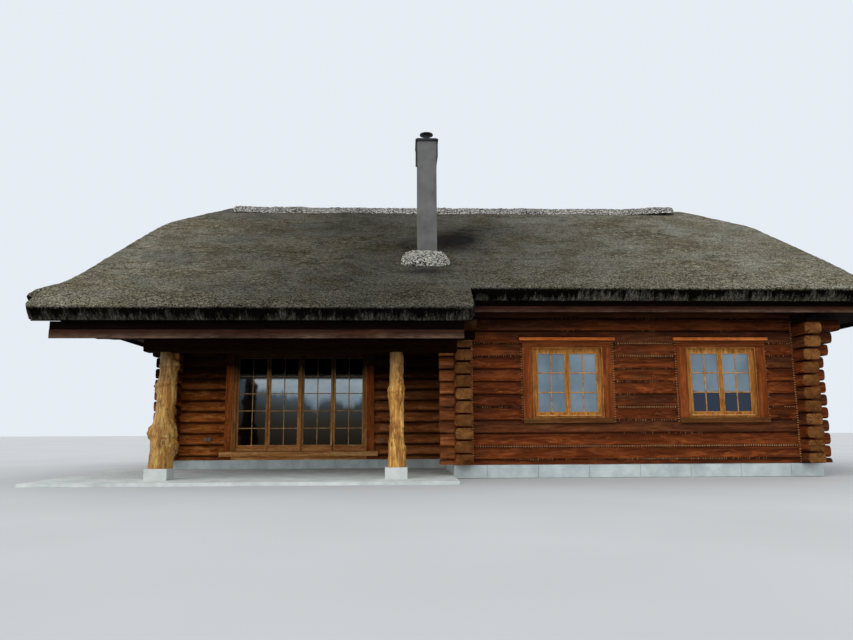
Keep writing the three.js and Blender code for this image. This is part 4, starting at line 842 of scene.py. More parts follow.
def course_run(build, wall, s0, s1, z0, z1, joints, free, seed):
    """One log from s0 to s1. joints gives its own lower and upper joint, free the two stops beyond which it is
    an end that shows on both sides."""
    place, flip = wall["map"]
    length = s1 - s0
    if length < 0.02:
        return
    stops = [np.linspace(0, length, max(3, int(length / wall["station"]) + 2))]
    if s0 < free[0]:
        stops.append(TIP_STOPS)
    if s1 > free[1]:
        stops.append(length - TIP_STOPS)
    stops += [edge - s0 + side * SCALLOP for edge, side in wall["edges"]]
    s = np.unique(np.round(np.concatenate(stops), 4))
    s = s0 + s[(s >= 0) & (s <= length)]
    low, high = joints
    centre_z = (low + high) / 2
    half = (high - low) / 2
    foot, head = np.clip([(z0 + 0.002 - centre_z) / half, (z1 - 0.002 - centre_z) / half], -1, 1)
    t = foot + (PROFILE_AT + 1) / 2 * (head - foot)
    shape = np.tile(np.interp(t, PROFILE_AT, PROFILE_OUT), (len(s), 1))
    z = np.tile(centre_z + t * half, (len(s), 1))
    grid_s = np.tile(s[:, None], (1, len(t)))
    # waviness of the joints, shared by the two logs that meet there
    below, above = (waves(line(s, level * 9, wall["seed"]), (0.8, 1, 0.006))[:, None] for level in joints)
    z += (below * (1 - t) + above * (1 + t)) / 2 * np.clip(np.abs(t) * 2 - 1, 0, 1)
    spots = np.stack([grid_s, z * 2.0, np.full_like(z, seed * 3.7)], -1)
    face = shape + waves(spots, (HEWN, 2, 0.004), (CHIPPED, 3, 0.0022))
    face += waves(line(s, seed, 0), (1.2, 4, 0.004))[:, None]
    # planed flat round an opening, and sloping up from there to the round of the log
    for c in wall["windows"]:
        planed = PLANED_FACE + BED_RISE * np.maximum(np.abs(grid_s - c) - BED_FLAT, 0)
        face = np.where((z > BED_FOOT) & (z < BED_HEAD), np.minimum(face, planed), face)
    if wall["door"]:
        beyond = np.maximum(DOOR_BED_LEFT + DOOR_FLAT - grid_s, grid_s - DOOR_BED_RIGHT + DOOR_FLAT)
        planed = PLANED_FACE + BED_RISE * np.maximum(beyond, 0)
        face = np.where(z < DOOR_BED_HEAD, np.minimum(face, planed), face)
    inside = np.full_like(face, HALF_LOG)
    inside[:, [0, -1]] = HALF_LOG - 0.004
    beyond = ((s < free[0]) | (s > free[1]))[:, None]
    back = np.where(beyond | wall["both"], shape + waves(spots, (HEWN, 7, 0.004)), inside)
    # beyond the crossing wall a log stands free of its neighbours, and its tip is rounded over
    shrink, narrow = np.ones((2, len(s)))
    for tip, is_free, inner in ((s0, s0 < free[0], free[0] - s), (s1, s1 > free[1], s - free[1])):
        if is_free:
            turn = np.clip(1 - np.abs(s - tip) / TIP_ROUND, 0, 1)
            shrink *= 1 - 0.060 * (1 - np.sqrt(1 - turn ** 2))
            narrow *= 1 - TIP_GAP * np.clip(inner / 0.06, 0, 1)
    mid = (z[:, :1] + z[:, -1:]) / 2
    z = mid + (z - mid) * (narrow * (1 - 1.5 * (1 - shrink)))[:, None]
    rounder = shrink[:, None] * (1 - 2.0 * (1 - narrow[:, None]) * np.abs(t) ** 5)
    ring_w = np.concatenate([face * rounder, -(back * rounder)[:, ::-1]], 1)
    ring_z = np.concatenate([z, z[:, ::-1]], 1)
    count, size = ring_w.shape
    points = [np.stack([np.tile(s[:, None], (1, size)), ring_w, ring_z], -1).reshape(-1, 3)]
    # sawn ends, each with an inner ring and a heart
    groups, kinds = [ring_quads(count, size)], [0]
    total = count * size
    r = np.arange(size)
    n = (r + 1) % size
    for row, way in ((0, -1), (count - 1, 1)):
        rim = points[0][row * size:(row + 1) * size]
        heart = rim.mean(0)
        inner = heart + (rim - heart) * 0.55
        rough = np.stack([rim[:, 1] * 9, rim[:, 2] * 9, rim[:, 0] + seed], -1)
        inner[:, 0] += waves(rough, (1.0, 6, 0.004)) + 0.004 * way
        points += [inner, heart[None] + [[0.005 * way, 0, 0]]]
        rim_quads = np.stack([row * size + r, row * size + n, total + n, total + r], -1)
        fans = np.stack([total + r, total + n, np.full(size, total + size)], -1)
        groups += [rim_quads[:, ::way], fans[:, ::way]]
        kinds += [1, 1]
        total += size + 1
    points = np.concatenate(points)
    grain = points + [seed * 5.3, 0, -centre_z]
    tone = noise(np.array([[seed * 1.7, seed * 0.9, 3.1]]), 1.0, 5)[0] * 1.6
    if flip:
        groups = [group[:, ::-1] for group in groups]
    build.add(place(points), tuple(groups), tuple(kinds), grain=grain, tone=np.full(len(points), tone))


def corner(at, side, top=3.100, corbels=(0.69, 0.49, 0.40)):
    """Where a wall crosses another: their line, the side beyond it, and the reach of the uppermost ends."""
    return {"line": at, "side": side, "top": top, "corbels": corbels}


def log_wall(name, node, side, start, end, first, top, seed, door=False, both=False, bottom=WALL_BOTTOM, cap=99,
             span=None, beams=False, station=0.08, materials=("log", "log_end")):
    """A wall of logs. start and end are corners or plain stops, first the height of the lowest joint."""
    build = Build()
    windows = WINDOWS_IN.get(side, ())
    wall = {"map": wall_map(*WALLS[side]), "windows": windows, "door": door, "both": both, "seed": seed,
            "station": station, "edges": [(c + way * BED_FLAT, way) for c in windows for way in (-1, 1)]}
    if door:
        wall["edges"] += [(DOOR_BED_LEFT + DOOR_FLAT, -1), (DOOR_BED_RIGHT - DOOR_FLAT, 1)]
    levels = [bottom]
    z = first
    while z < top - 0.01:
        if z > bottom + 0.01:
            levels.append(z)
        z += LOG_PITCH
    levels.append(top)

    def stop(limit, z0, z1):
        """How far a course runs towards a limit, and where its free tip begins."""
        if not isinstance(limit, dict):
            return limit, limit
        way, corbels = limit["side"], limit["corbels"]
        face = limit["line"] + way * HALF_LOG
        if z1 > limit["top"] + 0.01:
            return face, face
        below = round((limit["top"] - z1) / LOG_PITCH)
        reach = corbels[below] if below < len(corbels) else END_REACH
        jitter = noise(np.array([[z0 * 7.0, seed * 2.0, way * 3.0]]), 0.7, 8)[0] * 0.012
        return limit["line"] + way * (HALF_LOG + reach + jitter), face

    cuts = [(c - WINDOW_HALF, c + WINDOW_HALF, WINDOW_FOOT, WINDOW_HEAD) for c in windows]
    if door:
        cuts.append(DOOR_CUT)
    for k, (z0, z1) in enumerate(zip(levels[:-1], levels[1:])):
        a, free_a = stop(start, z0, z1)
        b, free_b = stop(end, z0, z1)
        if span:
            a, b = max(a, span(z0)[0]), min(b, span(z0)[1])
        joints = (z0 if k and z1 - z0 > 0.2 else z1 - LOG_PITCH, z1)
        z1 = min(z1, cap)
        if z1 - z0 < 0.02:
            continue
        runs, spot = [], a
        for g0, g1, foot, head in sorted(cut for cut in cuts if cut[2] < z1 - 0.004 and cut[3] > z0 + 0.004):
            runs.append((spot, g0, z0, z1))
            if foot > z0 + 0.02:
                runs.append((g0, g1, z0, foot))
            if head < z1 - 0.02:
                runs.append((g0, g1, head, z1))
            spot = g1
        runs.append((spot, b, z0, z1))
        for r0, r1, low, high in runs:
            free = (free_a if r0 == a else -99, free_b if r1 == b else 99)
            course_run(build, wall, r0, r1, low, high, joints, free, seed * 10 + k)
    if beams:
        beam_courses(build, side, seed * 10 + 1)
    return build.make(name, materials, replaces=[node])


def under_roof(y, margin=0.045):
    """How high a wall may reach at y before it meets the boards."""
    return EAVE_Z + ROOF_SLOPE * (EAVE_Y - abs(y)) - (THATCH + 0.04) * math.hypot(1, ROOF_SLOPE) - margin


def beam_courses(build, side, seed):
    """The two courses that run on from a cross wall to the porch beam."""
    wall = {"map": wall_map(*WALLS[side]), "windows": (), "door": False, "both": True, "seed": seed, "edges": [],
            "station": 0.08}
    inner = (RECESS_Y if side == "left" else FRONT_Y) - 0.17
    for k, (front, z0, z1) in enumerate(((-4.82, 2.725, 2.975), (-4.70, 2.975, 3.225))):
        high = min(z1, max(under_roof(front), z0 + 0.06))
        course_run(build, wall, front, inner, z0, high, (z0, z1), (inner, 99), seed * 7 + k)


CROSS_CORBELS = (0.49, 0.43, 0.37, 0.32)
TERRACE_CORBELS = (0.49, 0.37)
RECESS_KINDS = ("recess_log", "log_end")
WALL_CAP = under_roof(BACK_Y)
FRONT_END, BACK_END = corner(FRONT_Y, -1, 2.975, CROSS_CORBELS), corner(BACK_Y, 1, 2.975, CROSS_CORBELS)
log_wall("front_wall_logs", "front_wall", "front", corner(WING_X, -1, corbels=TERRACE_CORBELS), corner(RIGHT_X, 1),
         FIRST_LONG, 3.85, 1, cap=WALL_CAP, materials=("front_log", "log_end"))
log_wall("back_wall_logs", "back_wall", "back", corner(LEFT_X, -1), corner(RIGHT_X, 1), FIRST_LONG, 3.85, 2,
         cap=WALL_CAP, station=0.15)
log_wall("right_end_logs", "right_end_wall", "right", FRONT_END, BACK_END, FIRST_CROSS, 3.35, 3, station=0.10)
log_wall("left_end_logs", "left_end_wall", "left", corner(RECESS_Y, -1, 2.725, ()), BACK_END, FIRST_CROSS, 3.35, 4,
         beams=True, station=0.12)
log_wall("wing_side_logs", "wing_side_wall", "wing", corner(FRONT_Y, -1, 2.725, ()), RECESS_Y + HALF_LOG,
         FIRST_CROSS, 3.35, 5, beams=True, materials=("wing_log", "log_end"))
log_wall("recess_logs_left", "recess_wall_left", "recess", corner(LEFT_X, -1, corbels=TERRACE_CORBELS), -5.3503,
         FIRST_LONG, 3.35, 6, door=True, materials=RECESS_KINDS)
log_wall("recess_logs_right", "recess_wall_right", "recess", -2.2647, -0.4403, FIRST_LONG, 3.35, 7, door=True,
         materials=RECESS_KINDS)
log_wall("recess_logs_over_door", "recess_wall_over_door", "recess", -5.350, -2.265, 2.850, 3.35, 8, bottom=2.7003,
         materials=RECESS_KINDS)
log_wall("porch_beam_logs", "porch_beam", "beam", corner(LEFT_X, -1, 3.100, ()), WING_X + 0.17, 2.350, 3.100, 9,
         both=True, bottom=2.350, span=lambda z0: (-6.15, -0.44) if z0 < 2.5 else (-99, 99),
         materials=("beam", "beam_end"))


# Rope stitched into the joints between the logs: a row of slanted stitches
STITCH_PITCH = 0.046
STITCH = np.array([0.0078, 0.0135, 0.0200])
STITCH_SLANT = 0.12


def stitch_form():
    """Points of one stitch along the joint, outward and across it, with the quads and end fans between them."""
    turn = np.arange(6) / 6 * 2 * math.pi
    points = [(-1, 0, 0)]
    for along, wide in ((-0.68, 0.72), (0, 1), (0.68, 0.72)):
        points += [(along, wide * math.cos(a), wide * math.sin(a)) for a in turn]
    points.append((1, 0, 0))
    r = np.arange(6)
    s = (r + 1) % 6
    quads = np.concatenate([np.stack([1 + k + r, 1 + k + s, 7 + k + s, 7 + k + r], -1) for k in (0, 6)])
    fans = np.concatenate([np.stack([0 * r, 1 + s, 1 + r], -1), np.stack([13 + r, 13 + s, 19 + 0 * r], -1)])
    return np.array(points, float), quads, fans


STITCH_POINTS, STITCH_QUADS, STITCH_FANS = stitch_form()


def stitches(build, start, end, outward, pitch, rng, stain):
    """A row of stitches between two points on a wall. stain runs from 0, pale, to 1, as dark as the logs; past 1
    it is painted shade.
    """
    length = np.linalg.norm(end - start)
    count = int(length / pitch)
    if count < 2:
        return
    along = (end - start) / length
    across = np.cross(along, outward)
    t = (np.arange(count) + 0.5) / count + rng.uniform(-0.08, 0.08, count) / count
    middle = start + (end - start) * t[:, None]
    middle = middle + across * waves(middle, (0.4, 11, 0.004))[:, None]
    form = STITCH_POINTS * STITCH * (pitch / STITCH_PITCH, 1, 1)
    form[:, 2] += STITCH_SLANT * form[:, 0]
    size = rng.uniform(0.85, 1.12, (count, 1, 1))
    points = middle[:, None] + (form @ np.stack([along, outward, across])) * size
    stained = stain + 0.40 * noise(middle, 0.8, 12) + rng.uniform(-0.18, 0.18, count)
    first = np.arange(count)[:, None, None] * len(form)
    build.add(points, ((STITCH_QUADS[None] + first).reshape(-1, 4), (STITCH_FANS[None] + first).reshape(-1, 3)), 0,
              tone=np.repeat(stained, len(form)))


def wall_ropes(name, side, a, b, first, top, door=False, pitch=STITCH_PITCH, uprights=(),
               stains=(0.75, 0.05, 0.95, 0.80, 0.45, 0.95, 0.80, 0.85, 0.40, 0.30, 0.95)):
    """Rope along the outer joints of a wall, broken where the wall is planed round an opening. uprights are
    rows at a place, a distance outward and a stain, as high as the wall shows."""
    place, _ = wall_map(*WALLS[side])
    windows = WINDOWS_IN.get(side, ())
    out = place([0, 1, 0]) - place([0, 0, 0])
    build = Build()
    rng = np.random.default_rng(round(abs(WALLS[side][1]) * 100) + len(name))

    def row(s0, s1, w, z0, z1, stain):
        stitches(build, place([s0, w, z0]), place([s1, w, z1]), out, pitch, rng, stain)

    for k, z in enumerate(np.arange(first, top - 0.01, LOG_PITCH)):
        gaps = [(c - BED_FLAT - 0.05, c + BED_FLAT + 0.05) for c in windows if BED_FOOT < z < BED_HEAD]
        if door and z < DOOR_BED_HEAD:
            gaps.append((DOOR_BED_LEFT + 0.02, DOOR_BED_RIGHT - 0.02))
        spot = a
        for g0, g1 in sorted(gaps) + [(b, b)]:
            if g0 - spot > 0.05:
                row(spot, g0, 0.154, z, z, stains[k % len(stains)])
            spot = max(spot, g1)
    for c in windows:
        for s in (c - 0.909, c + 0.909):
            row(s, s, 0.136, 1.05, 2.655, 0.35)
    for s in uprights:
        row(s, s, 0.178, 0.27, 3.05, 0.15)
    return build.make(name, ["rope"])


wall_ropes("front_joint_ropes", "front", -0.10, 6.31, FIRST_LONG, 3.3, uprights=(6.318, -0.088))
# recess rope stained past the logs: painted shade of the porch
wall_ropes("recess_joint_ropes", "recess", -6.51, -0.44, FIRST_LONG, 3.05, door=True, stains=(1.3,))
wall_ropes("back_joint_ropes", "back", -6.51, 6.33, FIRST_LONG, 3.3, pitch=0.075)
wall_ropes("right_joint_ropes", "right", -3.36, 3.36, FIRST_CROSS, 3.0)
wall_ropes("left_joint_ropes", "left", -0.69, 3.36, FIRST_CROSS, 3.0)
wall_ropes("wing_side_joint_ropes", "wing", -3.36, -1.03, FIRST_CROSS, 3.0, stains=(0.95,))


# Glazing bars
HALF_BAR, BEAD_EDGE, PANE_EDGE, LAP = 0.011, 0.004, 0.008, 0.002


def bar(build, wall, s0, s1, w0, w1, z0, z1, edge=0.006):
    """A slim bar with its front and back edges splayed."""
    place, flip = wall
    rings = []
    for w, inset in ((w0, edge), (w0 + edge, 0), (w1 - edge, 0), (w1, edge)):
        ds, dz = (inset, 0) if abs(s1 - s0) < abs(z1 - z0) else (0, inset)
        rings.append([(s0 + ds, w, z0 + dz), (s1 - ds, w, z0 + dz), (s1 - ds, w, z1 - dz), (s0 + ds, w, z1 - dz)])
    build.tube(place(rings), turned=not flip)


WINDOWS = {"front_window_1": ("front", 1.805), "front_window_2": ("front", 4.885), "right_window": ("right", 0.0),
           "left_window": ("left", 1.400), "back_window_1": ("back", 3.300), "back_window_2": ("back", -3.600)}
for label, (side, c) in WINDOWS.items():
    place = wall_map(*WALLS[side])
    build = Build()
    for way in (-1, 1):
        inner, outer = sorted((c + way * 0.045, c + way * 0.587))
        middle = (inner + outer) / 2
        bar(build, place, middle - HALF_BAR, middle + HALF_BAR, 0.043, 0.077, 1.252, 2.411)
        for z in (1.639, 2.024):
            bar(build, place, inner, outer, 0.045, 0.075, z - HALF_BAR, z + HALF_BAR)
        # slim beads round the glass
        for z0, z1 in ((1.250, 1.262), (2.401, 2.413)):
            bar(build, place, inner, outer, 0.050, 0.088, z0, z1, BEAD_EDGE)
        for s in (inner, outer):
            bar(build, place, s - 0.006, s + 0.006, 0.050, 0.088, 1.252, 2.411, BEAD_EDGE)
    # weather bar at the foot of the frame
    bar(build, place, c - 0.640, c + 0.640, 0.080, 0.118, 1.170, 1.202, 0.008)
    build.make(f"{label}_bars", ["bars"], smooth=False)

LEAVES = [f"door_leaf_{n}" for n in (1, 2, 3, 4)]
place = wall_map(*WALLS["recess"])
for leaf in LEAVES:
    (inner, _, z0), (outer, _, z1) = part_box(f"{leaf}_glass")
    inner, outer, z0, z1 = inner + PANE_EDGE, outer - PANE_EDGE, z0 + PANE_EDGE, z1 - PANE_EDGE
    middle = (inner + outer) / 2
    build = Build()
    bar(build, place, middle - HALF_BAR, middle + HALF_BAR, -0.016, 0.018, z0 - LAP, z1 + LAP)
    for z in (0.967, 1.367, 1.763, 2.169):
        bar(build, place, inner - LAP, outer + LAP, -0.014, 0.016, z - HALF_BAR, z + HALF_BAR)
    for low, high in ((z0 - LAP, z0 + 0.011), (z1 - 0.011, z1 + LAP)):
        bar(build, place, inner, outer, -0.010, 0.026, low, high, BEAD_EDGE)
    for s in (inner, outer):
        bar(build, place, s - 0.007, s + 0.007, -0.010, 0.026, z0, z1, BEAD_EDGE)
    build.make(f"{leaf}_bars", ["door_bars"], body=leaf, smooth=False)


# Boards: fascias and porch ceiling
def boards(build, runs, breaks, seed, material=0):
    """Long boards along X, cut at the breaks. Each run is its span in Y and in Z."""
    rng = np.random.default_rng(seed)
    e = 0.004
    for a0, a1, b0, b1 in runs:
        ring = np.array([(a0 + e, b0), (a1 - e, b0), (a1, b0 + e), (a1, b1 - e), (a1 - e, b1), (a0 + e, b1),
                         (a0, b1 - e), (a0, b0 + e)])
        low = 1 - (ring[:, 1] - b0) / (b1 - b0)
        for s0, s1 in zip(breaks[:-1], breaks[1:]):
            stations = np.linspace(s0 + 0.001, s1 - 0.001, max(2, int((s1 - s0) / 0.5) + 1))
            bow = waves(line(stations, a0 * 3, b0 * 5 + seed), (1.3, 12, 0.003)) + rng.uniform(-0.0015, 0.0015)
            rows = np.zeros((len(stations), 8, 3))
            rows[..., 0] = stations[:, None]
            rows[..., 1:] = ring[None] + bow[:, None, None]
            build.tube(rows, material, low=np.tile(low, len(stations)))


def fascia(side, y_face, x0, x1, z0, split, z1, outward, seed):
    """A proud lower board below one that is set back and closes the eave, painted near black for the shade it
    stands in.
    """
    build = Build()
    breaks = np.linspace(x0, x1, max(2, round((x1 - x0) / 3.9)) + 1)
    lower = sorted((y_face - outward * 0.003, y_face - outward * 0.030))
    upper = sorted((y_face - outward * 0.014, y_face - outward * 0.0395))
    shifted = breaks + np.where((breaks > x0) & (breaks < x1), 0.8, 0)
    boards(build, [(*lower, z0, split)], breaks, seed, 0)
    # the set-back board is painted near black: painted shade
    boards(build, [(*upper, split - 0.02, z1)], shifted, seed + 1, 1)
    build.make(f"{side}_fascia_boards", ["fascia", "fascia_dark"], replaces=[f"{side}_fascia"],
               smooth=False)


fascia("front", -4.241, -0.0997, 7.900, 3.140, 3.252, 3.340, -1, 21)
fascia("porch", -5.001, -7.635, -0.345, 2.535, 2.690, 2.838, -1, 23)
fascia("back", 4.241, -7.900, 7.900, 3.140, 3.252, 3.340, 1, 25)

# porch ceiling boards, painted near black for the shade under the porch roof
build = Build()
strips = np.linspace(-4.250, -1.0303, 24)
boards(build, [(a + 0.002, b - 0.002, 3.1003, 3.1247) for a, b in zip(strips[:-1], strips[1:])],
       (-6.5097, -3.5, -0.4403), 31)
build.make("porch_ceiling_boards", ["timber"], replaces=["porch_ceiling"], smooth=False)


# Porch posts, drawn from their outline: height, shift of the middle and half width
LEFT_OUTLINE = [(0.26, 0.020, 0.212), (0.41, 0.027, 0.204), (0.54, 0.046, 0.218), (0.675, 0.066, 0.232),
                (0.78, 0.062, 0.226), (0.83, 0.058, 0.250), (0.94, 0.052, 0.236), (1.12, 0.038, 0.176),
                (1.30, 0.050, 0.170), (1.57, 0.066, 0.172), (1.71, 0.042, 0.190), (1.80, 0.058, 0.176),
                (1.98, 0.083, 0.156), (2.12, 0.085, 0.176), (2.26, 0.060, 0.150), (2.35, 0.030, 0.120)]
RIGHT_OUTLINE = [(0.26, 0.008, 0.168), (0.39, 0.008, 0.160), (0.56, 0.009, 0.157), (0.74, 0.004, 0.143),
                 (1.01, 0.006, 0.133), (1.20, 0.008, 0.126), (1.42, -0.002, 0.138), (1.56, -0.004, 0.150),
                 (1.75, 0.000, 0.138), (1.93, -0.004, 0.128), (2.21, 0.001, 0.131), (2.35, -0.004, 0.124)]
LEFT_KNOTS = [(0.90, 3.3, 0.075, 0.07), (0.62, -0.2, 0.07, 0.08), (1.70, 3.0, 0.05, 0.05),
              (2.13, 0.1, 0.06, 0.05), (0.72, -1.3, 0.05, 0.07), (1.02, -0.5, 0.04, 0.06),
              (1.45, -1.9, 0.03, 0.05), (1.90, -1.2, 0.03, 0.05)]
RIGHT_KNOTS = [(1.62, 3.1, 0.03, 0.05), (1.55, -1.4, 0.04, 0.05), (0.56, 0.0, 0.03, 0.05),
               (1.05, -1.9, 0.02, 0.05), (2.05, -1.0, 0.02, 0.05), (0.80, -1.2, 0.02, 0.06)]
LEFT_RIDGES = [(1.76, 0.030, -0.4, 0.016), (0.86, 0.025, 2.2, 0.010), (2.12, 0.020, 0.6, 0.008)]
RIGHT_RIDGES = [(1.66, 0.025, 1.0, 0.010), (0.98, 0.020, -1.0, 0.006)]


def trunk(name, node, centre_x, outline, knots, ridges, seed):
    """A peeled trunk. knots are height, bearing, size and spread, ridges height, tilt, bearing and size."""
    heights = np.linspace(0.2606, 2.3494, 150)
    h, shift, half = np.array(outline).T
    middle = centre_x + np.interp(heights, h, shift)
    radius = np.interp(heights, h, half)
    middle, radius = (np.convolve(np.pad(v, 4, "edge"), np.ones(9) / 9, "valid") for v in (middle, radius))
    z, a = np.meshgrid(heights, np.linspace(0, 2 * math.pi, 56, endpoint=False), indexing="ij")
    r = radius[:, None] * (0.97 + 0.03 * np.cos(2 * a + seed + z))
    mark = np.zeros_like(r)
    for level, toward, size, spread in knots:
        turn = (a - toward + math.pi) % (2 * math.pi) - math.pi
        d = ((z - level) / spread) ** 2 + (turn * r / (spread * 1.1)) ** 2
        r = r + size * 0.70 * np.exp(-d) + size * 0.45 * np.exp(-((np.sqrt(d) - 1.4) ** 2) * 5)
        mark = np.maximum(mark, np.exp(-d * 0.7))
    spots = np.stack([np.cos(a) * 0.15, np.sin(a) * 0.15, z], -1)
    r = r + waves(spots, ((0.05, 0.05, 0.22), seed, 0.009), ((0.02, 0.02, 0.12), seed + 1, 0.004),
                  ((0.09, 0.09, 0.10), seed + 5, 0.010))
    for level, tilt, toward, size in ridges:
        up = level + tilt * np.cos(a - toward)
        r = r + size * (np.exp(-((z - up) / 0.022) ** 2) - 0.8 * np.exp(-((z - up + 0.045) / 0.020) ** 2))
        # the groove below each ridge is marked dark: painted shadow under the ridge
        mark = np.maximum(mark, 0.55 * np.exp(-((z - up + 0.045) / 0.022) ** 2))
    twist = np.abs(noise(spots + [0, 0, 0.3], (0.035, 0.035, 0.5), seed + 2))
    r = r - np.where(twist < 0.05, 0.005, 0.0)
    build = Build()
    x = middle[:, None] + np.cos(a) * r
    build.tube(np.stack([x, POST_Y + np.sin(a) * r * 0.97, z], -1), knot=mark.ravel())
    build.make(name, ["trunk"], replaces=[node])


trunk("porch_trunk_left", "porch_post_left", -5.810, LEFT_OUTLINE, LEFT_KNOTS, LEFT_RIDGES, 31)
trunk("porch_trunk_right", "porch_post_right", -1.555, RIGHT_OUTLINE, RIGHT_KNOTS, RIGHT_RIDGES, 37)

# Plinth slabs set against the foundations, about a metre long each: their run, first length and distance outward
SLAB, SLAB_GAP, SLAB_EDGE, SLAB_FOOT, SLAB_TOP = 0.99, 0.003, 0.006, 0.004, 0.2545
build = Build()
for side, s0, s1, offset, w in (("front", -0.44, 6.76, 0.62, 0.15), ("back", -6.83, 6.76, 0.80, 0.15),
                                ("right", -3.68, 3.68, 0.70, 0.26), ("left", -1.01, 3.68, 0.70, 0.15),
                                ("recess", -6.83, -0.46, 0.9, 0.15), ("wing", -3.68, -1.05, 0.9, 0.17)):
    place, flip = wall_map(*WALLS[side])
    edges = [s0, *np.arange(s0 + offset, s1 - 0.15, SLAB), s1]
    for a, b in zip(edges[:-1], edges[1:]):
        lean = waves(np.array([[a, b, w]]), (0.7, 13, 0.002))[0]
        rings = []
        for out, e in ((w, 0), (w + 0.010 + lean, 0), (w + 0.016 + lean, SLAB_EDGE)):
            left, right = a + SLAB_GAP + e, b - SLAB_GAP - e
            rings.append([(left, out, SLAB_FOOT + e), (right, out, SLAB_FOOT + e),
                          (right, out, SLAB_TOP - e), (left, out, SLAB_TOP - e)])
        build.tube(place(rings), turned=not flip)
build.make("plinth_slabs", ["plinth"], smooth=False)


# Chimney collar and ridge: swollen bundles of reed
def swollen(name, node, rings, material, relief, seed):
    points = np.array(rings, float)
    normal = np.cross(np.roll(points, -1, 1) - np.roll(points, 1, 1), np.gradient(points, axis=0))
    normal /= np.maximum(np.linalg.norm(normal, axis=-1, keepdims=True), 1e-9)
    push = waves(points, (0.045, seed, relief), (0.02, seed + 1, relief * 0.5), (0.3, seed + 2, relief * 1.2))
    build = Build()
    build.tube(points + normal * push[..., None])
    build.make(name, [material], replaces=[node])


RIDGE_ENDS = (-5.700, 5.540)
RIDGE_TOP = EAVE_Z + ROOF_SLOPE * EAVE_Y
section = []
for t in np.linspace(0, 1, 22):
    y = -0.335 + 0.67 * t
    swell = 0.058 * (1 - abs(2 * t - 1) ** 3.5) ** 0.6 - 0.020 * math.exp(-(y / 0.05) ** 2)
    section.append((y, RIDGE_TOP - ROOF_SLOPE * abs(y) + 0.004 + swell))
for t in np.linspace(1, 0, 8)[1:-1]:
    y = -0.335 + 0.67 * t
    section.append((y, RIDGE_TOP - ROOF_SLOPE * abs(y) - 0.030))
rings = []
for x in np.arange(*RIDGE_ENDS, 0.045):
    edge = min(x - RIDGE_ENDS[0], RIDGE_ENDS[1] - x)
    raised = 0.055 * float(np.clip((x - 4.2) / 0.9, 0, 1)) + 0.025 * math.exp(-((x + 5.65) / 0.5) ** 2)
    close = 1 - 0.25 * math.exp(-(edge / 0.04) ** 2)
    rings.append([(x, y * close, z + raised) for y, z in section[::-1]])
swollen("ridge_reed_roll", "ridge_cap", rings, "ridge", 0.014, 51)

# A pillow on the slope before the stack, wider at its toe
COLLAR_X, COLLAR_TOE, COLLAR_HEAD = -0.975, 0.520, 0.430
COLLAR_FRONT, COLLAR_BACK, COLLAR_THICK = -3.510, -2.893, 0.128
rings = []
for turn in np.linspace(0, 1, 18) * math.pi / 2:
    lift = COLLAR_THICK * math.sin(turn) ** 0.8
    shrink = max(0.04, math.cos(turn) ** 0.42)
    ring = []
    for a in np.linspace(0, 2 * math.pi, 84, endpoint=False):
        u, v = (math.copysign(abs(f) ** 0.38, f) for f in (math.cos(a), math.sin(a)))
        half = (COLLAR_TOE + COLLAR_HEAD) / 2 - v * (COLLAR_TOE - COLLAR_HEAD) / 2
        y = (COLLAR_FRONT + COLLAR_BACK) / 2 + v * shrink * (COLLAR_BACK - COLLAR_FRONT) / 2
        y = y - 0.9 * lift * max(v, 0)
        ring.append((COLLAR_X + u * half * shrink, y, EAVE_Z + ROOF_SLOPE * (EAVE_Y + y) + 0.004 + lift * 1.198))
    rings.append(ring)
swollen("chimney_reed_collar", "chimney_collar", rings, "collar", 0.013, 57)

# Chimney cap with tapering side flaps
STACK_LEFT, STACK_RIGHT, STACK_FRONT, STACK_BACK = -1.1298, -0.7142, -2.890, -2.330
build = Build()
for reach, z0, z1 in ((0.040, 7.1403, 7.172), (0.012, 7.1715, 7.199)):
    build.box(STACK_LEFT - reach, STACK_RIGHT + reach, STACK_FRONT - reach, STACK_BACK + reach, z0, z1)
for x0, x1, front_low, back_low in ((STACK_LEFT - 0.030, STACK_LEFT - 0.0003, 6.540, 6.756),
                                    (STACK_RIGHT + 0.0003, STACK_RIGHT + 0.030, 6.790, 6.790)):
    build.tube([[(x0, STACK_FRONT, low), (x1, STACK_FRONT, low), (x1, STACK_BACK, high), (x0, STACK_BACK, high)]
                for low, high in ((front_low, back_low), (7.142, 7.142))])
cap = build.make("chimney_cap_sheets", ["dark_sheet"], replaces=["chimney_cap"], smooth=False)
bevel(cap, 0.004)

# Seam of the stack, on its front and both sides
build = Build()
for x0, x1, y0, y1 in ((-1.1315, -0.7135, -2.8925, -2.8895), (-1.1325, -1.1295, -2.892, -2.40),
                       (-0.7150, -0.7120, -2.892, -2.40)):
    build.box(x0, x1, y0, y1, 4.909, 4.933)
build.make("chimney_stack_seam", ["stack"], smooth=False)

# Socket boxes by the terrace door
build = Build()
for x, z in ((-5.905, 0.721), (-5.828, 0.721), (-1.891, 0.692)):
    build.box(x - 0.036, x + 0.036, -1.072, -1.020, z - 0.040, z + 0.040)
    build.box(x - 0.028, x + 0.028, -1.079, -1.071, z - 0.030, z + 0.030)
bevel(build.make("terrace_socket_boxes", ["box"], smooth=False), 0.003)

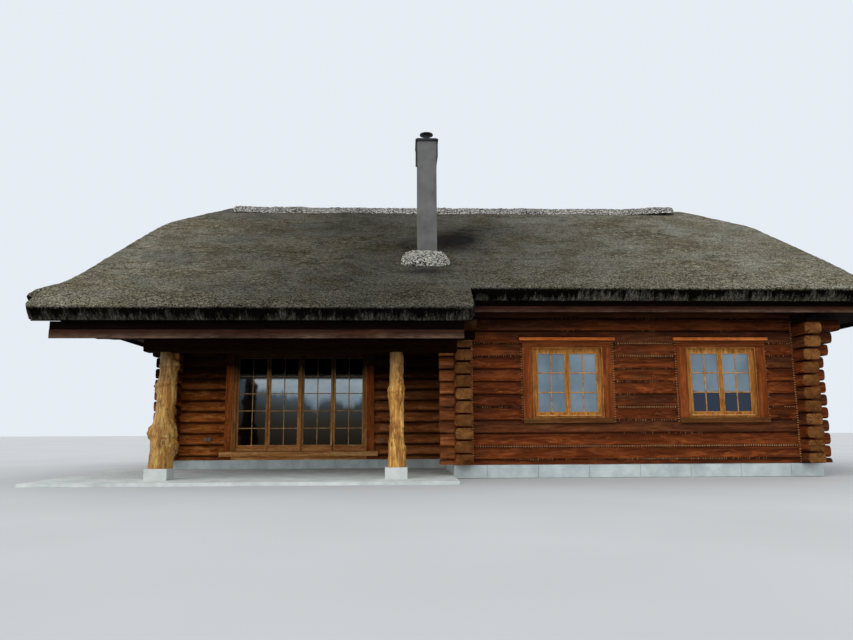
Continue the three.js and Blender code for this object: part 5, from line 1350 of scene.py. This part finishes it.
# Finishes and softened edges of the pieces that stay as the solids give them
KEPT = {"terrace_slab": ("concrete", 0.010), "terrace_door_frame": ("door_frame", 0.004),
        "chimney_stack": ("stack", 0.006), "chimney_cowl": ("dark_sheet", 0.003)}
for label in ("foundation_wing", "foundation_left", "post_block_left", "post_block_right"):
    KEPT[label] = ("concrete", 0.008)
# roof frames painted near black for the shade under the eaves
for side in ("front", "back", "left", "right"):
    KEPT[f"roof_frame_{side}"] = ("timber", 0.003)
for label, (side, _) in WINDOWS.items():
    KEPT[f"{label}_frame"] = KEPT[f"{label}_casing"] = (f"{side}_frames", 0.004)
    KEPT[f"{label}_glass"] = ("glass", 0)
for leaf in LEAVES:
    KEPT[leaf] = ("leaf", 0.004)
    KEPT[f"{leaf}_glass"] = ("door_glass", 0)
for label, (material, edge) in KEPT.items():
    if label not in nodes:
        continue
    piece = nodes[label]
    piece.data.materials.clear()
    piece.data.materials.append(MAT[material])
    if edge:
        bevel(piece, edge)


# Camera
yaw, pitch, roll = CAMERA_YAW, CAMERA_PITCH, CAMERA_ROLL
forward = Vector((math.sin(yaw) * math.cos(pitch), math.cos(yaw) * math.cos(pitch), math.sin(pitch)))
level = Vector((math.cos(yaw), -math.sin(yaw), 0))
upright = level.cross(forward)
right = level * math.cos(roll) + upright * math.sin(roll)
up = upright * math.cos(roll) - level * math.sin(roll)
camera_data = bpy.data.cameras.new("photo_camera")
camera_data.sensor_width = SENSOR
camera_data.lens = FOCAL_PIXELS * SENSOR / PHOTO_WIDTH
camera_data.clip_end = 200
camera = bpy.data.objects.new("photo_camera", camera_data)
scene.collection.objects.link(camera)
turned = Matrix((right, up, -forward)).transposed().to_4x4()
camera.matrix_world = Matrix.Translation(CAMERA_PLACE) @ turned
scene.camera = camera

# Floor and light
floor_mesh = bpy.data.meshes.new("studio_floor")
spread = [(x, y, -0.002) for x, y in ((-90, -90), (90, -90), (90, 90), (-90, 90))]
floor_mesh.from_pydata(spread, [], [(0, 1, 2, 3)])
floor = bpy.data.objects.new("studio_floor", floor_mesh)
scene.collection.objects.link(floor)
paving = Tree("studio_floor", 0.9, specular=0.2)
floor_mesh.materials.append(paving.finish(paving.ramp(paving.noise(0.3, 2), (0.3, 0.56), (0.7, 0.60))))
floor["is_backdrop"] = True

world = bpy.data.worlds.new("studio")
scene.world = world
world.use_nodes = True
backdrop = world.node_tree.nodes["Background"]
backdrop.inputs["Color"].default_value = (0.83, 0.89, 0.95, 1)
backdrop.inputs["Strength"].default_value = 0.95


def sun(name, energy, angle, direction, colour):
    light = bpy.data.lights.new(name, "SUN")
    light.energy = energy
    light.angle = math.radians(angle)
    light.color = colour
    lamp = bpy.data.objects.new(name, light)
    lamp.rotation_mode = "QUATERNION"
    lamp.rotation_quaternion = Vector(direction).to_track_quat("-Z", "Y")
    lamp.location = (0, -10, 12)
    scene.collection.objects.link(lamp)


sun("soft_key", 0.85, 55, (0.34, 0.60, -0.72), (1.0, 0.97, 0.92))
sun("soft_fill", 0.45, 70, (0.85, 0.30, -0.42), (1.0, 0.96, 0.90))
scene.view_settings.view_transform = "Standard"

low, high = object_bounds()
